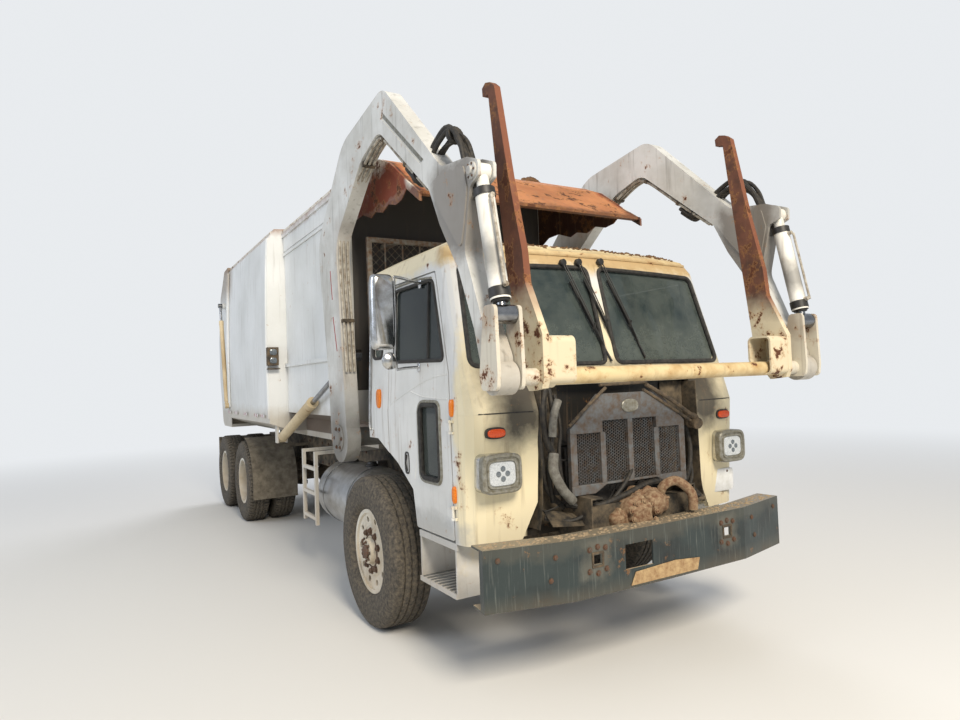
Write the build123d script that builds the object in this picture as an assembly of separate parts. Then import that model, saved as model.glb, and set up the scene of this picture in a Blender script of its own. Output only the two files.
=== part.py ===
"""Front-loading refuse truck on a cab-over chassis, in millimetres.

+Z is up and the truck faces -Y. Pieces are drawn with the front axle at Y = 0 and the ground at Z = 0,
then moved along Y so that the origin is under the middle of the whole truck.
The left side is +X. A piece that has a twin is drawn on the left and mirrored.
"""
from build123d import *
import math
import os

os.makedirs("parts", exist_ok=True)

# Clearances
RUN = 0.3            # round fits that turn or slide
SEAT = 0.3           # soft or curved pieces that rest on others
GAP = 10.0           # doors and other pieces that move past a neighbour

# Wheels and axles
FRONT_TYRE_R = 538.0
FRONT_TYRE_W = 312.0
REAR_TYRE_R = 527.0
REAR_TYRE_W = 279.0
BEAD_R = 286.0
FLANGE_R = 300.0
RIM_W = 229.0
FLANGE_T = 10.0
RIM_WALL = 14.0
FRONT_WHEEL_X = 1095.0
KINGPIN_X = 875.0
KINGPIN_R = 22.0
DISC_HOLES = 10
DISC_HOLE_R = 22.0
DUAL_CENTRE_X = 930.0
DUAL_SPACING = 333.0
TANDEM_Y = 5365.0
TANDEM_SPREAD = 1350.0
SPINDLE_R = 40.0
REAR_SPINDLE_R = 60.0
FRONT_AXLE_Z = FRONT_TYRE_R
REAR_AXLE_Z = REAR_TYRE_R
REAR_AXLES_Y = (TANDEM_Y - TANDEM_SPREAD / 2, TANDEM_Y + TANDEM_SPREAD / 2)

# Frame
RAIL_OUT = 432.0
RAIL_H = 270.0
RAIL_FLANGE = 89.0
RAIL_T = 9.0
RAIL_TOP = 1030.0
RAIL_FRONT = -1580.0
RAIL_REAR = 6560.0
CROSSMEMBER_Y = (-1480.0, 250.0, 1400.0, 2600.0, 3800.0, 5365.0, 6310.0)
TOW_T = 32.0
TOW_BORE_R = 20.0
TOW_EYE_R = 45.0
CROSSMEMBER_HALF = 45.0
SPRING_REACH = 540.0
HANGER_H = 60.0

# Cab: level, half width, front edge at the sides, front edge at the middle, corner radius, rear wall
CAB_HALF = 1125.0
CAB_REAR = 150.0
CAB_LEVELS = (
    (800.0, CAB_HALF - 5, -1325.0, -1425.0, 110.0, CAB_REAR),
    (1550.0, CAB_HALF, -1370.0, -1440.0, 100.0, CAB_REAR),
    (1790.0, CAB_HALF - 15, -1290.0, -1335.0, 60.0, CAB_REAR),
    (2500.0, CAB_HALF - 50, -1075.0, -1150.0, 60.0, CAB_REAR),
    (2590.0, CAB_HALF - 85, -1020.0, -1100.0, 60.0, CAB_REAR - 30),
    (2650.0, CAB_HALF - 195, -900.0, -960.0, 60.0, CAB_REAR - 130),
)
CAB_WALL = 35.0
CAB_UNDERSIDE = ((-1500.0, 800.0), (-645.0, 800.0), (-602.0, 1045.0), (-370.0, 1195.0), (-20.0, 1350.0),
                 (200.0, 1350.0))
CAB_TOP = 2700.0
TUNNEL_HALF = 470.0
TUNNEL_TOP = 1340.0
TUNNEL_WALL = 20.0
SEAM_Z = 1550.0
ROOF_SEAM = CAB_LEVELS[3][0]
FIREWALL_T = 18.0
CORNER_IN = CAB_HALF - 525
WELL_BEYOND = 1500.0  # farther out than any face of the cab

DOOR_OUTLINE = ((-1165.0, 812.0), (-1165.0, 1565.0), (-1135.0, 1800.0), (-945.0, 2430.0), (-230.0, 2430.0),
                (-230.0, 1262.0), (-370.0, 1201.0), (-608.0, 1049.0), (-651.0, 812.0))
DOOR_WINDOW = ((-1075.0, 1880.0), (-915.0, 2385.0), (-330.0, 2385.0), (-330.0, 1900.0))
LOW_WINDOW = ((-1010.0, 1150.0), (-1010.0, 1600.0), (-760.0, 1600.0), (-760.0, 1150.0))
QUARTER_WINDOW = ((-100.0, 1940.0), (-100.0, 2390.0), (70.0, 2390.0), (70.0, 1940.0))
SCREEN_PANE = ((50.0, 1835.0), (55.0, 2470.0), (CAB_HALF - 135, 2455.0), (CAB_HALF - 90, 1835.0))
GLASS_T = 6.0
GLASS_DEPTH = 14.0
HINGE_Y = -1186.0
HINGE_R = 13.0
HINGE_PIN_R = 6.0
HINGE_LEVELS = (980.0, 1480.0)
HINGE_LUG_H = 16.0
HINGE_KNUCKLE_H = 50.0
MIRROR_Y = -730.0
MIRROR_HALF_Y = 30.0
MIRROR_X = (CAB_HALF + 140, CAB_HALF + 300)
MIRROR_Z = (1960.0, 2440.0)
MIRROR_TUBE_X = CAB_HALF + 135
MIRROR_TUBE_Z = (1845.0, 2408.0)
MIRROR_TUBE_R = 12.0
CAB_STEP_X = (CAB_HALF - 365, CAB_HALF + 5)
CAB_STEP_Y = (-1180.0, -690.0)
CAB_STEP_Z = (480.0, 510.0)
CAB_STEP_PLATE = 15.0

# Cab inside
SEAT_X = CAB_HALF - 345
SEAT_HALF = 220.0
SEAT_FOOT_HALF = 80.0
SEAT_FOOT_Y = (-360.0, -180.0)
CUSHION = (-520.0, -60.0, 1400.0, 1520.0)       # Y and Z
BACKREST = (-90.0, 0.0, 1500.0, 2080.0)         # Y and Z
DASH_HALF = CAB_HALF - 65
DASH_REAR = -1096.0
WHEEL_AT = (-900.0, 1790.0)                     # Y and Z
WHEEL_R = 230.0

# Centre front
NOSE_TOP = 1700.0
NOSE_BACK = -1290.0
LAMP_AT = (CAB_HALF - 168, 1219.0)
LAMP_FRONT = -1455.0
GRILLE_TOP = 1636.0
GRILLE_BOTTOM = 1033.0
GRILLE_Y = -1470.0
GRILLE_T = 40.0
GRILLE_COLUMNS = 4
GRILLE_PITCH = 225.0
GRILLE_SLOT_HALF = 92.0
GRILLE_SLATS = 5
RADIATOR_FRONT = -1310.0
BUMPER_FRONT = -1745.0
BUMPER_END_Y = -1620.0
BUMPER_HALF = CAB_HALF + 75
BUMPER_LOW = 530.0
BUMPER_HIGH = 860.0
BUMPER_DEPTH = 150.0
BUMPER_PLATE = 12.0
BUMPER_HOLE = (530.0, 27.0, 705.0, 757.0)       # X of its middle, half width, low, high
BUMPER_SLOT = (-330.0, -120.0, 640.0, 780.0)    # X and Z
ENGINE_Y = (-1020.0, -80.0)
ENGINE_Z = (640.0, 1290.0)
ENGINE_HALF = 330.0
ENGINE_FEET_Y = (-900.0, -250.0)
RADIATOR_HALF = 440.0
RADIATOR_T = 100.0

# Body
HOPPER_FRONT = 800.0
STEP_Y = 3030.0
BODY_REAR = 5600.0
BODY_HALF = 1220.0
BODY_TOP = 3600.0
HOPPER_TOP = 3520.0
FLOOR_Z = 1190.0
TROUGH_HALF = 800.0
SKIRT_Z = 1346.0
SHEET = 10.0
RIB = 28.0
RIB_HALF = 40.0
HOPPER_SILL_Z = (1980.0, 2020.0)
GATE_RIBS_Z = (1650.0, 2250.0, 2850.0)
CANOPY_CURVE = (  # Y, Z
    (-620, 3030), (-440, 3150), (-140, 3370), (60, 3460), (340, 3500), (HOPPER_FRONT, 3515))
CANOPY_RAGGED = (  # Y, Z of the wing's torn lower edge
    (HOPPER_FRONT, 3050), (640, 3125), (480, 3130), (300, 3065), (210, 3090), (60, 3052), (-60, 3085),
    (-190, 3048), (-300, 3060), (-400, 3120))
CANOPY_FLANGE = 60.0
GUARD_Y = (500.0, 530.0)
GUARD_Z = (1700.0, 2960.0)
GUARD_EDGE = 40.0
GUARD_BARS = 12
GUARD_BRACKET_X = 700.0
PACKER_PROFILE = (  # Y, Z down to the hopper's floor
    (1000, 2400), (1060, 2400), (1300, 1500), (1500, FLOOR_Z + SHEET + SEAT), (1420, FLOOR_Z + SHEET + SEAT),
    (1240, 1460))
PACKER_GAP = 12.0

# Tanks, ladder and fenders
FUEL_AT = (-790.0, 730.0)                       # X and Z
FUEL_R = 290.0
FUEL_Y = (760.0, 1700.0)
FUEL_STRAPS_Y = (900.0, 1560.0)
OIL_TANK = (570.0, 360.0, 560.0, 1150.0)        # width, length, low, high
OIL_TANK_GAP = 38.0
LADDER_X = (-1160.0, -1130.0)
LADDER_Y = (1500.0, 1900.0)
LADDER_TOP = 1140.0
RUNGS_Z = (500.0, 730.0, 960.0)
FENDER_X = (640.0, 1200.0)
FENDER_GAP = 50.0
FENDER_T = 6.0
FLAP_T = 12.0
FLAP_BAR_Z = (960.0, 1000.0)

# Lift arms
ARM_GAP = 10.0
ARM_W = 110.0
ARM_IN = CAB_HALF + ARM_GAP
ARM_OUT = ARM_IN + ARM_W
ARM_MID = (ARM_IN + ARM_OUT) / 2
ARM_PLATE_T = 8.0
ARM_RECESS = 6.0
ARM_PIVOT = (500.0, 1330.0)
ARM_LIFT_RANGE = (-25.0, 80.0)
TORQUE_TUBE_R = 75.0
FORK_PIVOT = (-1857.0, 1754.0)
CROSS_TUBE_R = 44.5
LEVER_T = 20.0
ARM_BOSS_R = 85.0
FORK_HUB_R = 38.0
LEVER_GAP = 6.0
FORK_CYL_PIN = (-1738.0, 2814.0)
FORK_LEVER_PIN = (-1892.0, 2065.0)
FORK_X = ARM_IN - 167
FORK_T = 40.0
FORK_TIP = (-1512.0, 3402.0)
PAD_IN = FORK_X - 188
PAD_T = 12.0
ARM_CORNERS = (  # Y, Z, corner radius
    (700, 1300, 0), (735, 1850, 300), (915, 2950, 320), (220, 3600, 400), (-600, 3705, 200),
    (-1400, 2935, 120), (-1690, 2900, 40), (-1800, 2855, 30), (-1795, 2775, 15), (-1712, 2745, 30),
    (-1630, 2420, 120), (-1770, 2080, 150), (-1900, 1830, 60), (-1780, 1730, 0), (-1700, 2010, 100),
    (-1560, 2330, 200), (-1360, 2620, 0), (-1240, 2850, 60), (-510, 3440, 160), (-170, 3350, 300),
    (450, 2880, 260), (365, 1850, 250), (320, 1300, 0))
ARM_GUSSET = (  # Y, Z
    (-1250, 2866), (-1363, 2890), (-1520, 2895), (-1660, 2862), (-1690, 2740), (-1640, 2549), (-1600, 2430),
    (-1546, 2496), (-1385, 2685))
ARM_STRIP = (  # Y, Z
    (-588, 3543), (-652, 3486), (-1191, 3037), (-1136, 3030), (-560, 3510))
FORK_BLADE = (  # Y, Z from the fork pivot
    (-55, -60), (-78, -10), (-76, 215), (57, 486), (75, 663), (171, 1059), (283, 1616), (325, 1652),
    (375, 1668), (412, 1648), (408, 1600), (380, 1592), (348, 1590), (290, 1093), (213, 472), (176, 173),
    (100, -20), (60, -72))
PAD_SECTION = (  # Y, Z from the fork pivot
    (-76, -40), (-76, 208), (92, 208), (92, 60), (52, -40))

# Lift cylinders
LIFT_GAP = 65.0
LIFT_X = ARM_IN - LIFT_GAP
HOPPER_GAP = 70.0
HOPPER_HALF = LIFT_X - HOPPER_GAP
LIFT_BASE = (3100.0, 1170.0)
LIFT_EYE = (600.0, 1990.0)
LIFT_BARREL_R = 54.0
LIFT_BARREL_L = 1350.0
LIFT_ROD_R = 25.0
LIFT_ROD_L = 1700.0
LUG_GAP = 42.0
EYE_HALF = 54.7

# Fork cylinders
FORK_BARREL_R = 50.0
FORK_BARREL_L = 690.0
FORK_ROD_R = 25.0
FORK_ROD_L = 655.0
EAR_GAP = 37.0

# Tailgate
GATE_HINGE = (BODY_REAR + 40, BODY_TOP + 50)
GATE_HINGE_X = 760.0
GATE_CYL_GAP = 42.0
GATE_CYL_X = BODY_HALF + GATE_CYL_GAP
GATE_BASE = (5480.0, 1520.0)
GATE_EYE = (5830.0, 3000.0)
GATE_BARREL_R = 30.0
GATE_BARREL_L = 1280.0
GATE_ROD_R = 17.0
GATE_ROD_L = 1360.0
GATE_PIN_R = 20.0
GATE_HINGE_R = 16.0
GATE_EYE_HALF = 28.0

PIN_R = 25.0
LEVER_HEEL = 95.0
FLAP_REAR = RAIL_REAR + 2 * TOW_EYE_R
FRONT_REACH = FORK_PIVOT[0] - LEVER_HEEL
REAR_REACH = FLAP_REAR
SHIFT_Y = -(FRONT_REACH + REAR_REACH) / 2


# Helpers
def box(x0, x1, y0, y1, z0, z1):
    """Block between two corners."""
    return Pos((x0 + x1) / 2, (y0 + y1) / 2, (z0 + z1) / 2) * Box(x1 - x0, y1 - y0, z1 - z0)


def side_plane(x):
    """Plane seen from the side: its local axes are Y and Z."""
    return Plane((x, 0, 0), x_dir=(0, 1, 0), z_dir=(1, 0, 0))


def front_plane(y):
    """Plane seen from the front: its local axes are X and Z."""
    return Plane((0, y, 0), x_dir=(1, 0, 0), z_dir=(0, -1, 0))


def sharp(before, here, after):
    """Whether an outline turns enough at a corner for it to be rounded."""
    first = math.atan2(here[1] - before[1], here[0] - before[0])
    second = math.atan2(after[1] - here[1], after[0] - here[0])
    return abs((second - first + math.pi) % (2 * math.pi) - math.pi) > math.radians(20)


def outline(points, radius=0.0, grow=0.0):
    """Flat face from its corners, rounded and grown if asked, always facing the same way."""
    points = list(points)
    turn = sum(a[0] * b[1] - b[0] * a[1] for a, b in zip(points, points[1:] + points[:1]))
    face = Polygon(*(points if turn > 0 else points[::-1]), align=None)
    if radius:
        corners = [here for before, here, after in zip(points[-1:] + points, points, points[1:] + points[:1])
                   if sharp(before, here, after)]
        face = fillet([vertex for vertex in face.vertices()
                       if any(math.dist((vertex.X, vertex.Y), corner) < 0.01 for corner in corners)], radius)
    if grow:
        face = offset(face, grow)
    return face


def side_plate(points, x0, x1, radius=0.0, grow=0.0):
    """Outline in Y and Z, as thick as x0 to x1."""
    return extrude(side_plane(x0) * outline(points, radius, grow), x1 - x0)


def front_plate(points, y0, y1, radius=0.0, grow=0.0):
    """Outline in X and Z, from y0 back to y1."""
    return extrude(front_plane(y1) * outline(points, radius, grow), y1 - y0)


def rod(start, end, radius):
    """Round bar between two points."""
    start, end = Vector(*start), Vector(*end)
    return Plane(start, z_dir=(end - start).normalized()) * Cylinder(
        radius, (end - start).length, align=(Align.CENTER, Align.CENTER, Align.MIN))


def cross_bar(radius, x0, x1, at):
    """Round bar along X, at a place in Y and Z."""
    return rod((x0, at[0], at[1]), (x1, at[0], at[1]), radius)


def arc_band(centre, radius, thickness, start, end, x0, x1):
    """Bent plate round an axis along X, between two angles in degrees from +Y towards +Z."""
    y, z = centre
    middle = (start + end) / 2
    arcs = []
    for r, angles in ((radius, (start, middle, end)), (radius + thickness, (end, middle, start))):
        arcs.append([(y + r * math.cos(math.radians(a)), z + r * math.sin(math.radians(a))) for a in angles])
    inner, outer = arcs
    edge = ThreePointArc(*inner) + Line(inner[2], outer[0])
    edge = edge + ThreePointArc(*outer) + Line(outer[2], inner[0])
    return extrude(side_plane(x0) * make_face(edge), x1 - x0)


def turned(profile, x_centre, at):
    """Solid of revolution about an axis along X: the profile's columns are offset along X and radius."""
    face = outline(profile)
    return Pos(x_centre, at[0], at[1]) * revolve(face, Axis.X)


def other(part):
    """The twin on the right side."""
    return mirror(part, about=Plane.YZ)


def both(part):
    """A piece and its twin, as a list of solids."""
    return list(part.solids()) + list(other(part).solids())


def put(name, *pieces):
    """Write one node, moved so that the origin is under the middle of the truck."""
    solids = []
    for piece in pieces:
        if isinstance(piece, (list, tuple)):
            for item in piece:
                solids.extend(item.solids())
        else:
            solids.extend(piece.solids())
    solids = [solid.moved(Location((0, SHIFT_Y, 0))) for solid in solids]
    shape = solids[0] if len(solids) == 1 else Compound(children=solids)
    shape.label = name
    export_step(shape, f"parts/{name}.step")


def ahead(start, end, distance):
    """Point at a distance along the line from start to end, both in Y and Z."""
    length = math.dist(start, end)
    return tuple(a + (b - a) * distance / length for a, b in zip(start, end))


# Frame and axles
def frame_rails():
    """Two channel rails with their hangers, cab mounts and rear tow eyes."""
    web = box(RAIL_OUT - RAIL_T, RAIL_OUT, RAIL_FRONT, RAIL_REAR, RAIL_TOP - RAIL_H, RAIL_TOP)
    top = box(RAIL_OUT - RAIL_FLANGE, RAIL_OUT, RAIL_FRONT, RAIL_REAR, RAIL_TOP - RAIL_T, RAIL_TOP)
    low = box(RAIL_OUT - RAIL_FLANGE, RAIL_OUT, RAIL_FRONT, RAIL_REAR, RAIL_TOP - RAIL_H,
              RAIL_TOP - RAIL_H + RAIL_T)
    rail = web + top + low
    inner = RAIL_OUT - RAIL_T
    for y in (-SPRING_REACH + 60, SPRING_REACH - 60):
        rail += box(RAIL_OUT - 65, RAIL_OUT, y - 60, y + 60, RAIL_TOP - RAIL_H - HANGER_H, RAIL_TOP - RAIL_H)
    rail += box(RAIL_OUT, TUNNEL_HALF - TUNNEL_WALL - SEAT, -1060, -980, RAIL_TOP - 130, RAIL_TOP - 30)
    rail += box(RAIL_OUT - 60, RAIL_OUT, 50, 120, RAIL_TOP, CAB_UNDERSIDE[-1][1] - SEAT)
    eye_at = (RAIL_REAR + TOW_EYE_R, RAIL_TOP - RAIL_H / 2)
    eye = box(inner - TOW_T, inner, RAIL_REAR - 200, eye_at[0], eye_at[1] - TOW_EYE_R, eye_at[1] + TOW_EYE_R)
    eye += cross_bar(TOW_EYE_R, inner - TOW_T, inner, eye_at)
    rail += eye - cross_bar(TOW_BORE_R, inner - TOW_T - 10, inner + 10, eye_at)
    return rail


def crossmembers():
    """Box beams set between the rails' webs."""
    inner = RAIL_OUT - RAIL_T
    low, high = RAIL_TOP - RAIL_H + 60, RAIL_TOP - 60
    return [box(-inner, inner, y - CROSSMEMBER_HALF, y + CROSSMEMBER_HALF, low, high) for y in CROSSMEMBER_Y]


def front_axle():
    """Dropped beam with a kingpin at each end."""
    beam_z = FRONT_AXLE_Z - 90
    beam = box(-640, 640, -45, 45, beam_z - 50, beam_z + 50)
    half = rod((620, 0, beam_z + 5), (KINGPIN_X, 0, FRONT_AXLE_Z), 38)
    half += Pos(KINGPIN_X, 0, FRONT_AXLE_Z) * Cylinder(46, 120)
    half += Pos(KINGPIN_X, 0, FRONT_AXLE_Z) * Cylinder(KINGPIN_R, 250)
    return beam + half + other(half)


def front_springs():
    """Leaf packs under the rails, clamped on the axle beam."""
    low = FRONT_AXLE_Z - 40
    high = RAIL_TOP - RAIL_H - HANGER_H
    end = SPRING_REACH
    return side_plate(((-end, high), (-end + 120, high), (0, low + 60), (end - 120, high), (end, high),
                       (end, high - 25), (200, low + 10), (60, low), (-60, low), (-200, low + 10),
                       (-end, high - 25)), RAIL_OUT - 75, RAIL_OUT + 5)


def knuckle():
    """Steering knuckle: two ears round the kingpin and the spindle that carries the wheel."""
    ear_in = 60.0 + 0.5
    ear_t = 45.0
    ears = None
    for z in (FRONT_AXLE_Z + ear_in, FRONT_AXLE_Z - ear_in - ear_t):
        ear = Pos(KINGPIN_X, 0, z + ear_t / 2) * Cylinder(46, ear_t)
        ear += box(KINGPIN_X, KINGPIN_X + 75, -46, 46, z, z + ear_t)
        ears = ear if ears is None else ears + ear
    ears -= Pos(KINGPIN_X, 0, FRONT_AXLE_Z) * Cylinder(KINGPIN_R + RUN, 400)
    plate = box(KINGPIN_X + 52, KINGPIN_X + 85, -60, 60, FRONT_AXLE_Z - 105, FRONT_AXLE_Z + 105)
    spindle = cross_bar(SPINDLE_R, KINGPIN_X + 80, FRONT_WHEEL_X + 50, (0, FRONT_AXLE_Z))
    arm = box(KINGPIN_X + 52, KINGPIN_X + 85, 50, 190, FRONT_AXLE_Z - 90, FRONT_AXLE_Z - 60)
    return ears + plate + spindle + arm


def tandem_axles():
    """Two axle housings, each one turned piece with its gear bowl and spindles."""
    end = DUAL_CENTRE_X + 100
    profile = ((-end, 0), (-end, REAR_SPINDLE_R), (-630, REAR_SPINDLE_R), (-630, 70), (-190, 70), (-150, 130),
               (-80, 185), (80, 185), (150, 130), (190, 70), (630, 70), (630, REAR_SPINDLE_R),
               (end, REAR_SPINDLE_R), (end, 0))
    return [turned(profile, 0, (y, REAR_AXLE_Z)) for y in REAR_AXLES_Y]


def tandem_suspension():
    """Walking beam each side, hung from a saddle on the rail and seated under both axles."""
    front, rear = REAR_AXLES_Y
    low = REAR_AXLE_Z - 70 - SEAT
    high = RAIL_TOP - RAIL_H
    beam = ((front - 90, low), (rear + 90, low), (rear + 90, low - 50), (TANDEM_Y + 160, low - 110),
            (TANDEM_Y - 160, low - 110), (front - 90, low - 50))
    saddle = ((TANDEM_Y - 260, high), (TANDEM_Y + 260, high), (TANDEM_Y + 90, low), (TANDEM_Y - 90, low))
    return side_plate(beam, RAIL_OUT - 60, RAIL_OUT + 30) + side_plate(saddle, RAIL_OUT - 50, RAIL_OUT + 20)


# Wheels
def rim_outer_edge(half, sign):
    """Points of one rim edge, offset along X and radius."""
    return [(sign * half, BEAD_R - RIM_WALL), (sign * half, FLANGE_R), (sign * (half - FLANGE_T), FLANGE_R),
            (sign * (half - FLANGE_T), BEAD_R)]


def disc_holes(x, radius, at):
    """Hand holes round a wheel disc."""
    holes = []
    for number in range(DISC_HOLES):
        angle = 2 * math.pi * number / DISC_HOLES
        place = (at[0] + radius * math.cos(angle), at[1] + radius * math.sin(angle))
        holes.append(cross_bar(DISC_HOLE_R, x - 30, x + 30, place))
    return holes


def front_rim():
    """Rim with its dished disc and hub in one turned form."""
    half = RIM_W / 2
    bore = SPINDLE_R + RUN
    inner = BEAD_R - RIM_WALL
    profile = rim_outer_edge(half, -1) + rim_outer_edge(half, 1)[::-1]
    profile += [(100, inner), (90, 185), (102, 165), (102, 98), (138, 85), (142, 0), (62, 0), (62, bore),
                (-62, bore), (-62, 98), (20, 105), (72, 165), (76, 190), (84, inner)]
    centre = (0, FRONT_AXLE_Z)
    return turned(profile, FRONT_WHEEL_X, centre) - disc_holes(FRONT_WHEEL_X + 94, 228, centre)


def dual_rim(y):
    """Two rims back to back on one hub."""
    half = RIM_W / 2
    step = DUAL_SPACING / 2
    inner = BEAD_R - RIM_WALL
    bore = REAR_SPINDLE_R + RUN
    edge = rim_outer_edge(half, -1) + rim_outer_edge(half, 1)[::-1]
    profile = [(x - step, r) for x, r in edge]
    profile += [(-10, 256), (10, 256)]
    profile += [(x + step, r) for x, r in edge]
    profile += [(66, inner), (16, 235), (16, 130), (60, 100), (196, 92), (200, 0), (106, 0), (106, bore),
                (-130, bore), (-130, 110), (-16, 130), (-16, 235), (-66, inner)]
    return turned(profile, DUAL_CENTRE_X, (y, REAR_AXLE_Z)) - disc_holes(DUAL_CENTRE_X, 190, (y, REAR_AXLE_Z))


def tyre(radius, width, x_centre, at):
    """Tyre as a closed ring on its bead seat."""
    seat = RIM_W / 2 - FLANGE_T - SEAT
    bead = BEAD_R + SEAT
    half = width / 2
    left = [(-seat, bead), (-seat, FLANGE_R + SEAT), (-half + 22, FLANGE_R + 12), (-half, radius - 140),
            (-half + 22, radius - 18), (-half + 44, radius)]
    right = [(-x, r) for x, r in reversed(left)]
    return turned(left + right, x_centre, at)


# Cab
def cab_ring(level, half, side_y, mid_y, radius, rear, inset):
    """Corners of one level of the cab: a bowed front, rounded corners, straight sides and a flat rear."""
    half -= inset
    side_y += inset
    mid_y += inset
    radius = max(radius - inset, 12.0)
    left = [(half, rear - inset)]
    for angle in (0, 30, 60, 90):
        x = half - radius * (1 - math.cos(math.radians(angle)))
        left.append((x, side_y - (side_y - mid_y) * (1 - (x / half) ** 2)
                     + radius * (1 - math.sin(math.radians(angle)))))
    for share in (0.6, 0.3):
        left.append((half * share, side_y - (side_y - mid_y) * (1 - share ** 2)))
    ring = left + [(0, mid_y)] + [(-x, y) for x, y in reversed(left)]
    return [(x, y, level) for x, y in ring]


def flat_faces(low, high):
    """Faces between two edges: one where all four corners share a plane, or else two triangles."""
    a, b, c, d = low[0], low[1], high[1], high[0]
    u, v, w = (Vector(*point) - Vector(*a) for point in (b, c, d))
    if abs(u.cross(v).normalized().dot(w)) < 1e-6:
        return [Face(Wire.make_polygon([a, b, c, d]))]
    return [Face(Wire.make_polygon([a, b, c])), Face(Wire.make_polygon([a, c, d]))]


def cab_loft(inset):
    """The cab's outer form, or the same form inset by a wall, in flat faces."""
    rings = []
    for number, (level, half, side_y, mid_y, radius, rear) in enumerate(CAB_LEVELS):
        if number == len(CAB_LEVELS) - 1:
            level -= inset
        rings.append(cab_ring(level, half, side_y, mid_y, radius, rear, inset))
    faces = [Face(Wire.make_polygon(rings[0])), Face(Wire.make_polygon(rings[-1]))]
    for low, high in zip(rings, rings[1:]):
        for number in range(len(low)):
            after = (number + 1) % len(low)
            faces.extend(flat_faces((low[number], low[after]), (high[number], high[after])))
    return Solid(Shell(faces))


def cab_solid(inset, floor_lift):
    """The loft cut along its underside, which rises over the wheel arch."""
    points = [(y, z + floor_lift) for y, z in CAB_UNDERSIDE]
    points += [(CAB_UNDERSIDE[-1][0], CAB_TOP), (CAB_UNDERSIDE[0][0], CAB_TOP)]
    return cab_loft(inset) & side_plate(points, -1300, 1300)


def window_zone(points):
    """Rounded window outline, through the left side of the cab."""
    return side_plate(points, CAB_HALF - 125, CAB_HALF + 125, 45)


def door_zone(grow=0.0):
    """The door's outline through the left side of the cab, as thick as the cab's wall."""
    return side_plate(DOOR_OUTLINE, CAB_HALF - 200, CAB_HALF + 125, 18, grow) - cab_loft(CAB_WALL + grow)


def nose_opening():
    """The centre front, where the panel round the grille is gone."""
    low = CAB_LEVELS[0][0] - 20
    wide, knee, narrow = CORNER_IN + 200, CORNER_IN + 82, CORNER_IN + 60
    points = ((-wide, low), (-knee, 1020), (-narrow, NOSE_TOP), (narrow, NOSE_TOP), (knee, 1020), (wide, low))
    return front_plate(points, -WELL_BEYOND, NOSE_BACK)


def corner_zone(grow=0.0):
    """Where the lower corner panel is split from the cab, on the left."""
    return box(CORNER_IN - grow, WELL_BEYOND, -WELL_BEYOND, DOOR_OUTLINE[0][0] - GAP + grow, 0.0,
               SEAM_Z - SEAT + grow)


def roof_zone(grow=0.0):
    """Above the seam between the roof and the walls."""
    return box(-WELL_BEYOND, WELL_BEYOND, -WELL_BEYOND, WELL_BEYOND, ROOF_SEAM - grow, CAB_TOP)


def rear_zone(grow=0.0):
    """The rear wall, up to the roof."""
    top = ROOF_SEAM - SEAT + grow
    return box(-WELL_BEYOND, WELL_BEYOND, CAB_REAR - CAB_WALL - grow, WELL_BEYOND, 0.0, top)


def firewall():
    """Plate behind the open nose, with the ledge that joins it to the front wall above."""
    low = CAB_LEVELS[0][0]
    back = NOSE_BACK + FIREWALL_T
    wide, narrow = CORNER_IN + 160, CORNER_IN + 100
    wall = box(-wide, wide, NOSE_BACK, back, low, NOSE_TOP + 20)
    ledge = box(-narrow, narrow, -WELL_BEYOND, back, NOSE_TOP, NOSE_TOP + 20)
    return (wall + ledge) & cab_solid(2.0, 0.0)


def tunnel_hollow():
    """The engine's space under the tunnel."""
    inside = TUNNEL_HALF - TUNNEL_WALL
    return box(-inside, inside, -WELL_BEYOND, WELL_BEYOND, 0.0, TUNNEL_TOP - TUNNEL_WALL)


def floor_parts():
    """The left floor pan, and the engine tunnel, which carries the middle of the floor."""
    above = cab_solid(CAB_WALL + SEAT, 0.0)
    floor = above - cab_solid(CAB_WALL + SEAT, CAB_WALL)
    front = NOSE_BACK + FIREWALL_T + SEAT
    pan = floor & box(TUNNEL_HALF + SEAT, WELL_BEYOND, front, WELL_BEYOND, 0.0, CAB_TOP)
    middle = floor & box(-TUNNEL_HALF, TUNNEL_HALF, front, WELL_BEYOND, 0.0, CAB_TOP)
    tunnel = middle + (above & box(-TUNNEL_HALF, TUNNEL_HALF, front, WELL_BEYOND, 0.0, TUNNEL_TOP))
    return pan - door_zone(GAP), tunnel - tunnel_hollow()


def cab_parts():
    """The cab's walls, its roof, rear wall and left corner panel, and the left door."""
    outer = cab_solid(0.0, 0.0)
    walls = (outer - cab_loft(CAB_WALL) - nose_opening()) + firewall() - tunnel_hollow()
    door = (outer & door_zone()) - window_zone(DOOR_WINDOW) - window_zone(LOW_WINDOW)
    walls -= door_zone(GAP) + other(door_zone(GAP))
    roof = walls & roof_zone()
    rear = walls & rear_zone()
    corner = walls & corner_zone()
    walls -= corner_zone(SEAT) + other(corner_zone(SEAT)) + roof_zone(SEAT) + rear_zone(SEAT)
    quarter = window_zone(QUARTER_WINDOW)
    panes = screen_zone()
    walls -= quarter + other(quarter) + panes + other(panes)
    return walls, roof, rear, corner, door


def screen_zone():
    """One windscreen pane's outline, through the front of the cab."""
    return front_plate(SCREEN_PANE, -WELL_BEYOND, -1000, 50)


def cab_panes():
    """The left windscreen pane, the door's two panes and the left quarter pane."""
    skin = cab_loft(GLASS_DEPTH) - cab_loft(GLASS_DEPTH + GLASS_T)
    door_panes = skin & (window_zone(DOOR_WINDOW) + window_zone(LOW_WINDOW))
    return skin & screen_zone(), door_panes, skin & window_zone(QUARTER_WINDOW)


def largest(part):
    """The main solid, without slivers left by a cut."""
    return max(part.solids(), key=lambda solid: solid.volume)


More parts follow.
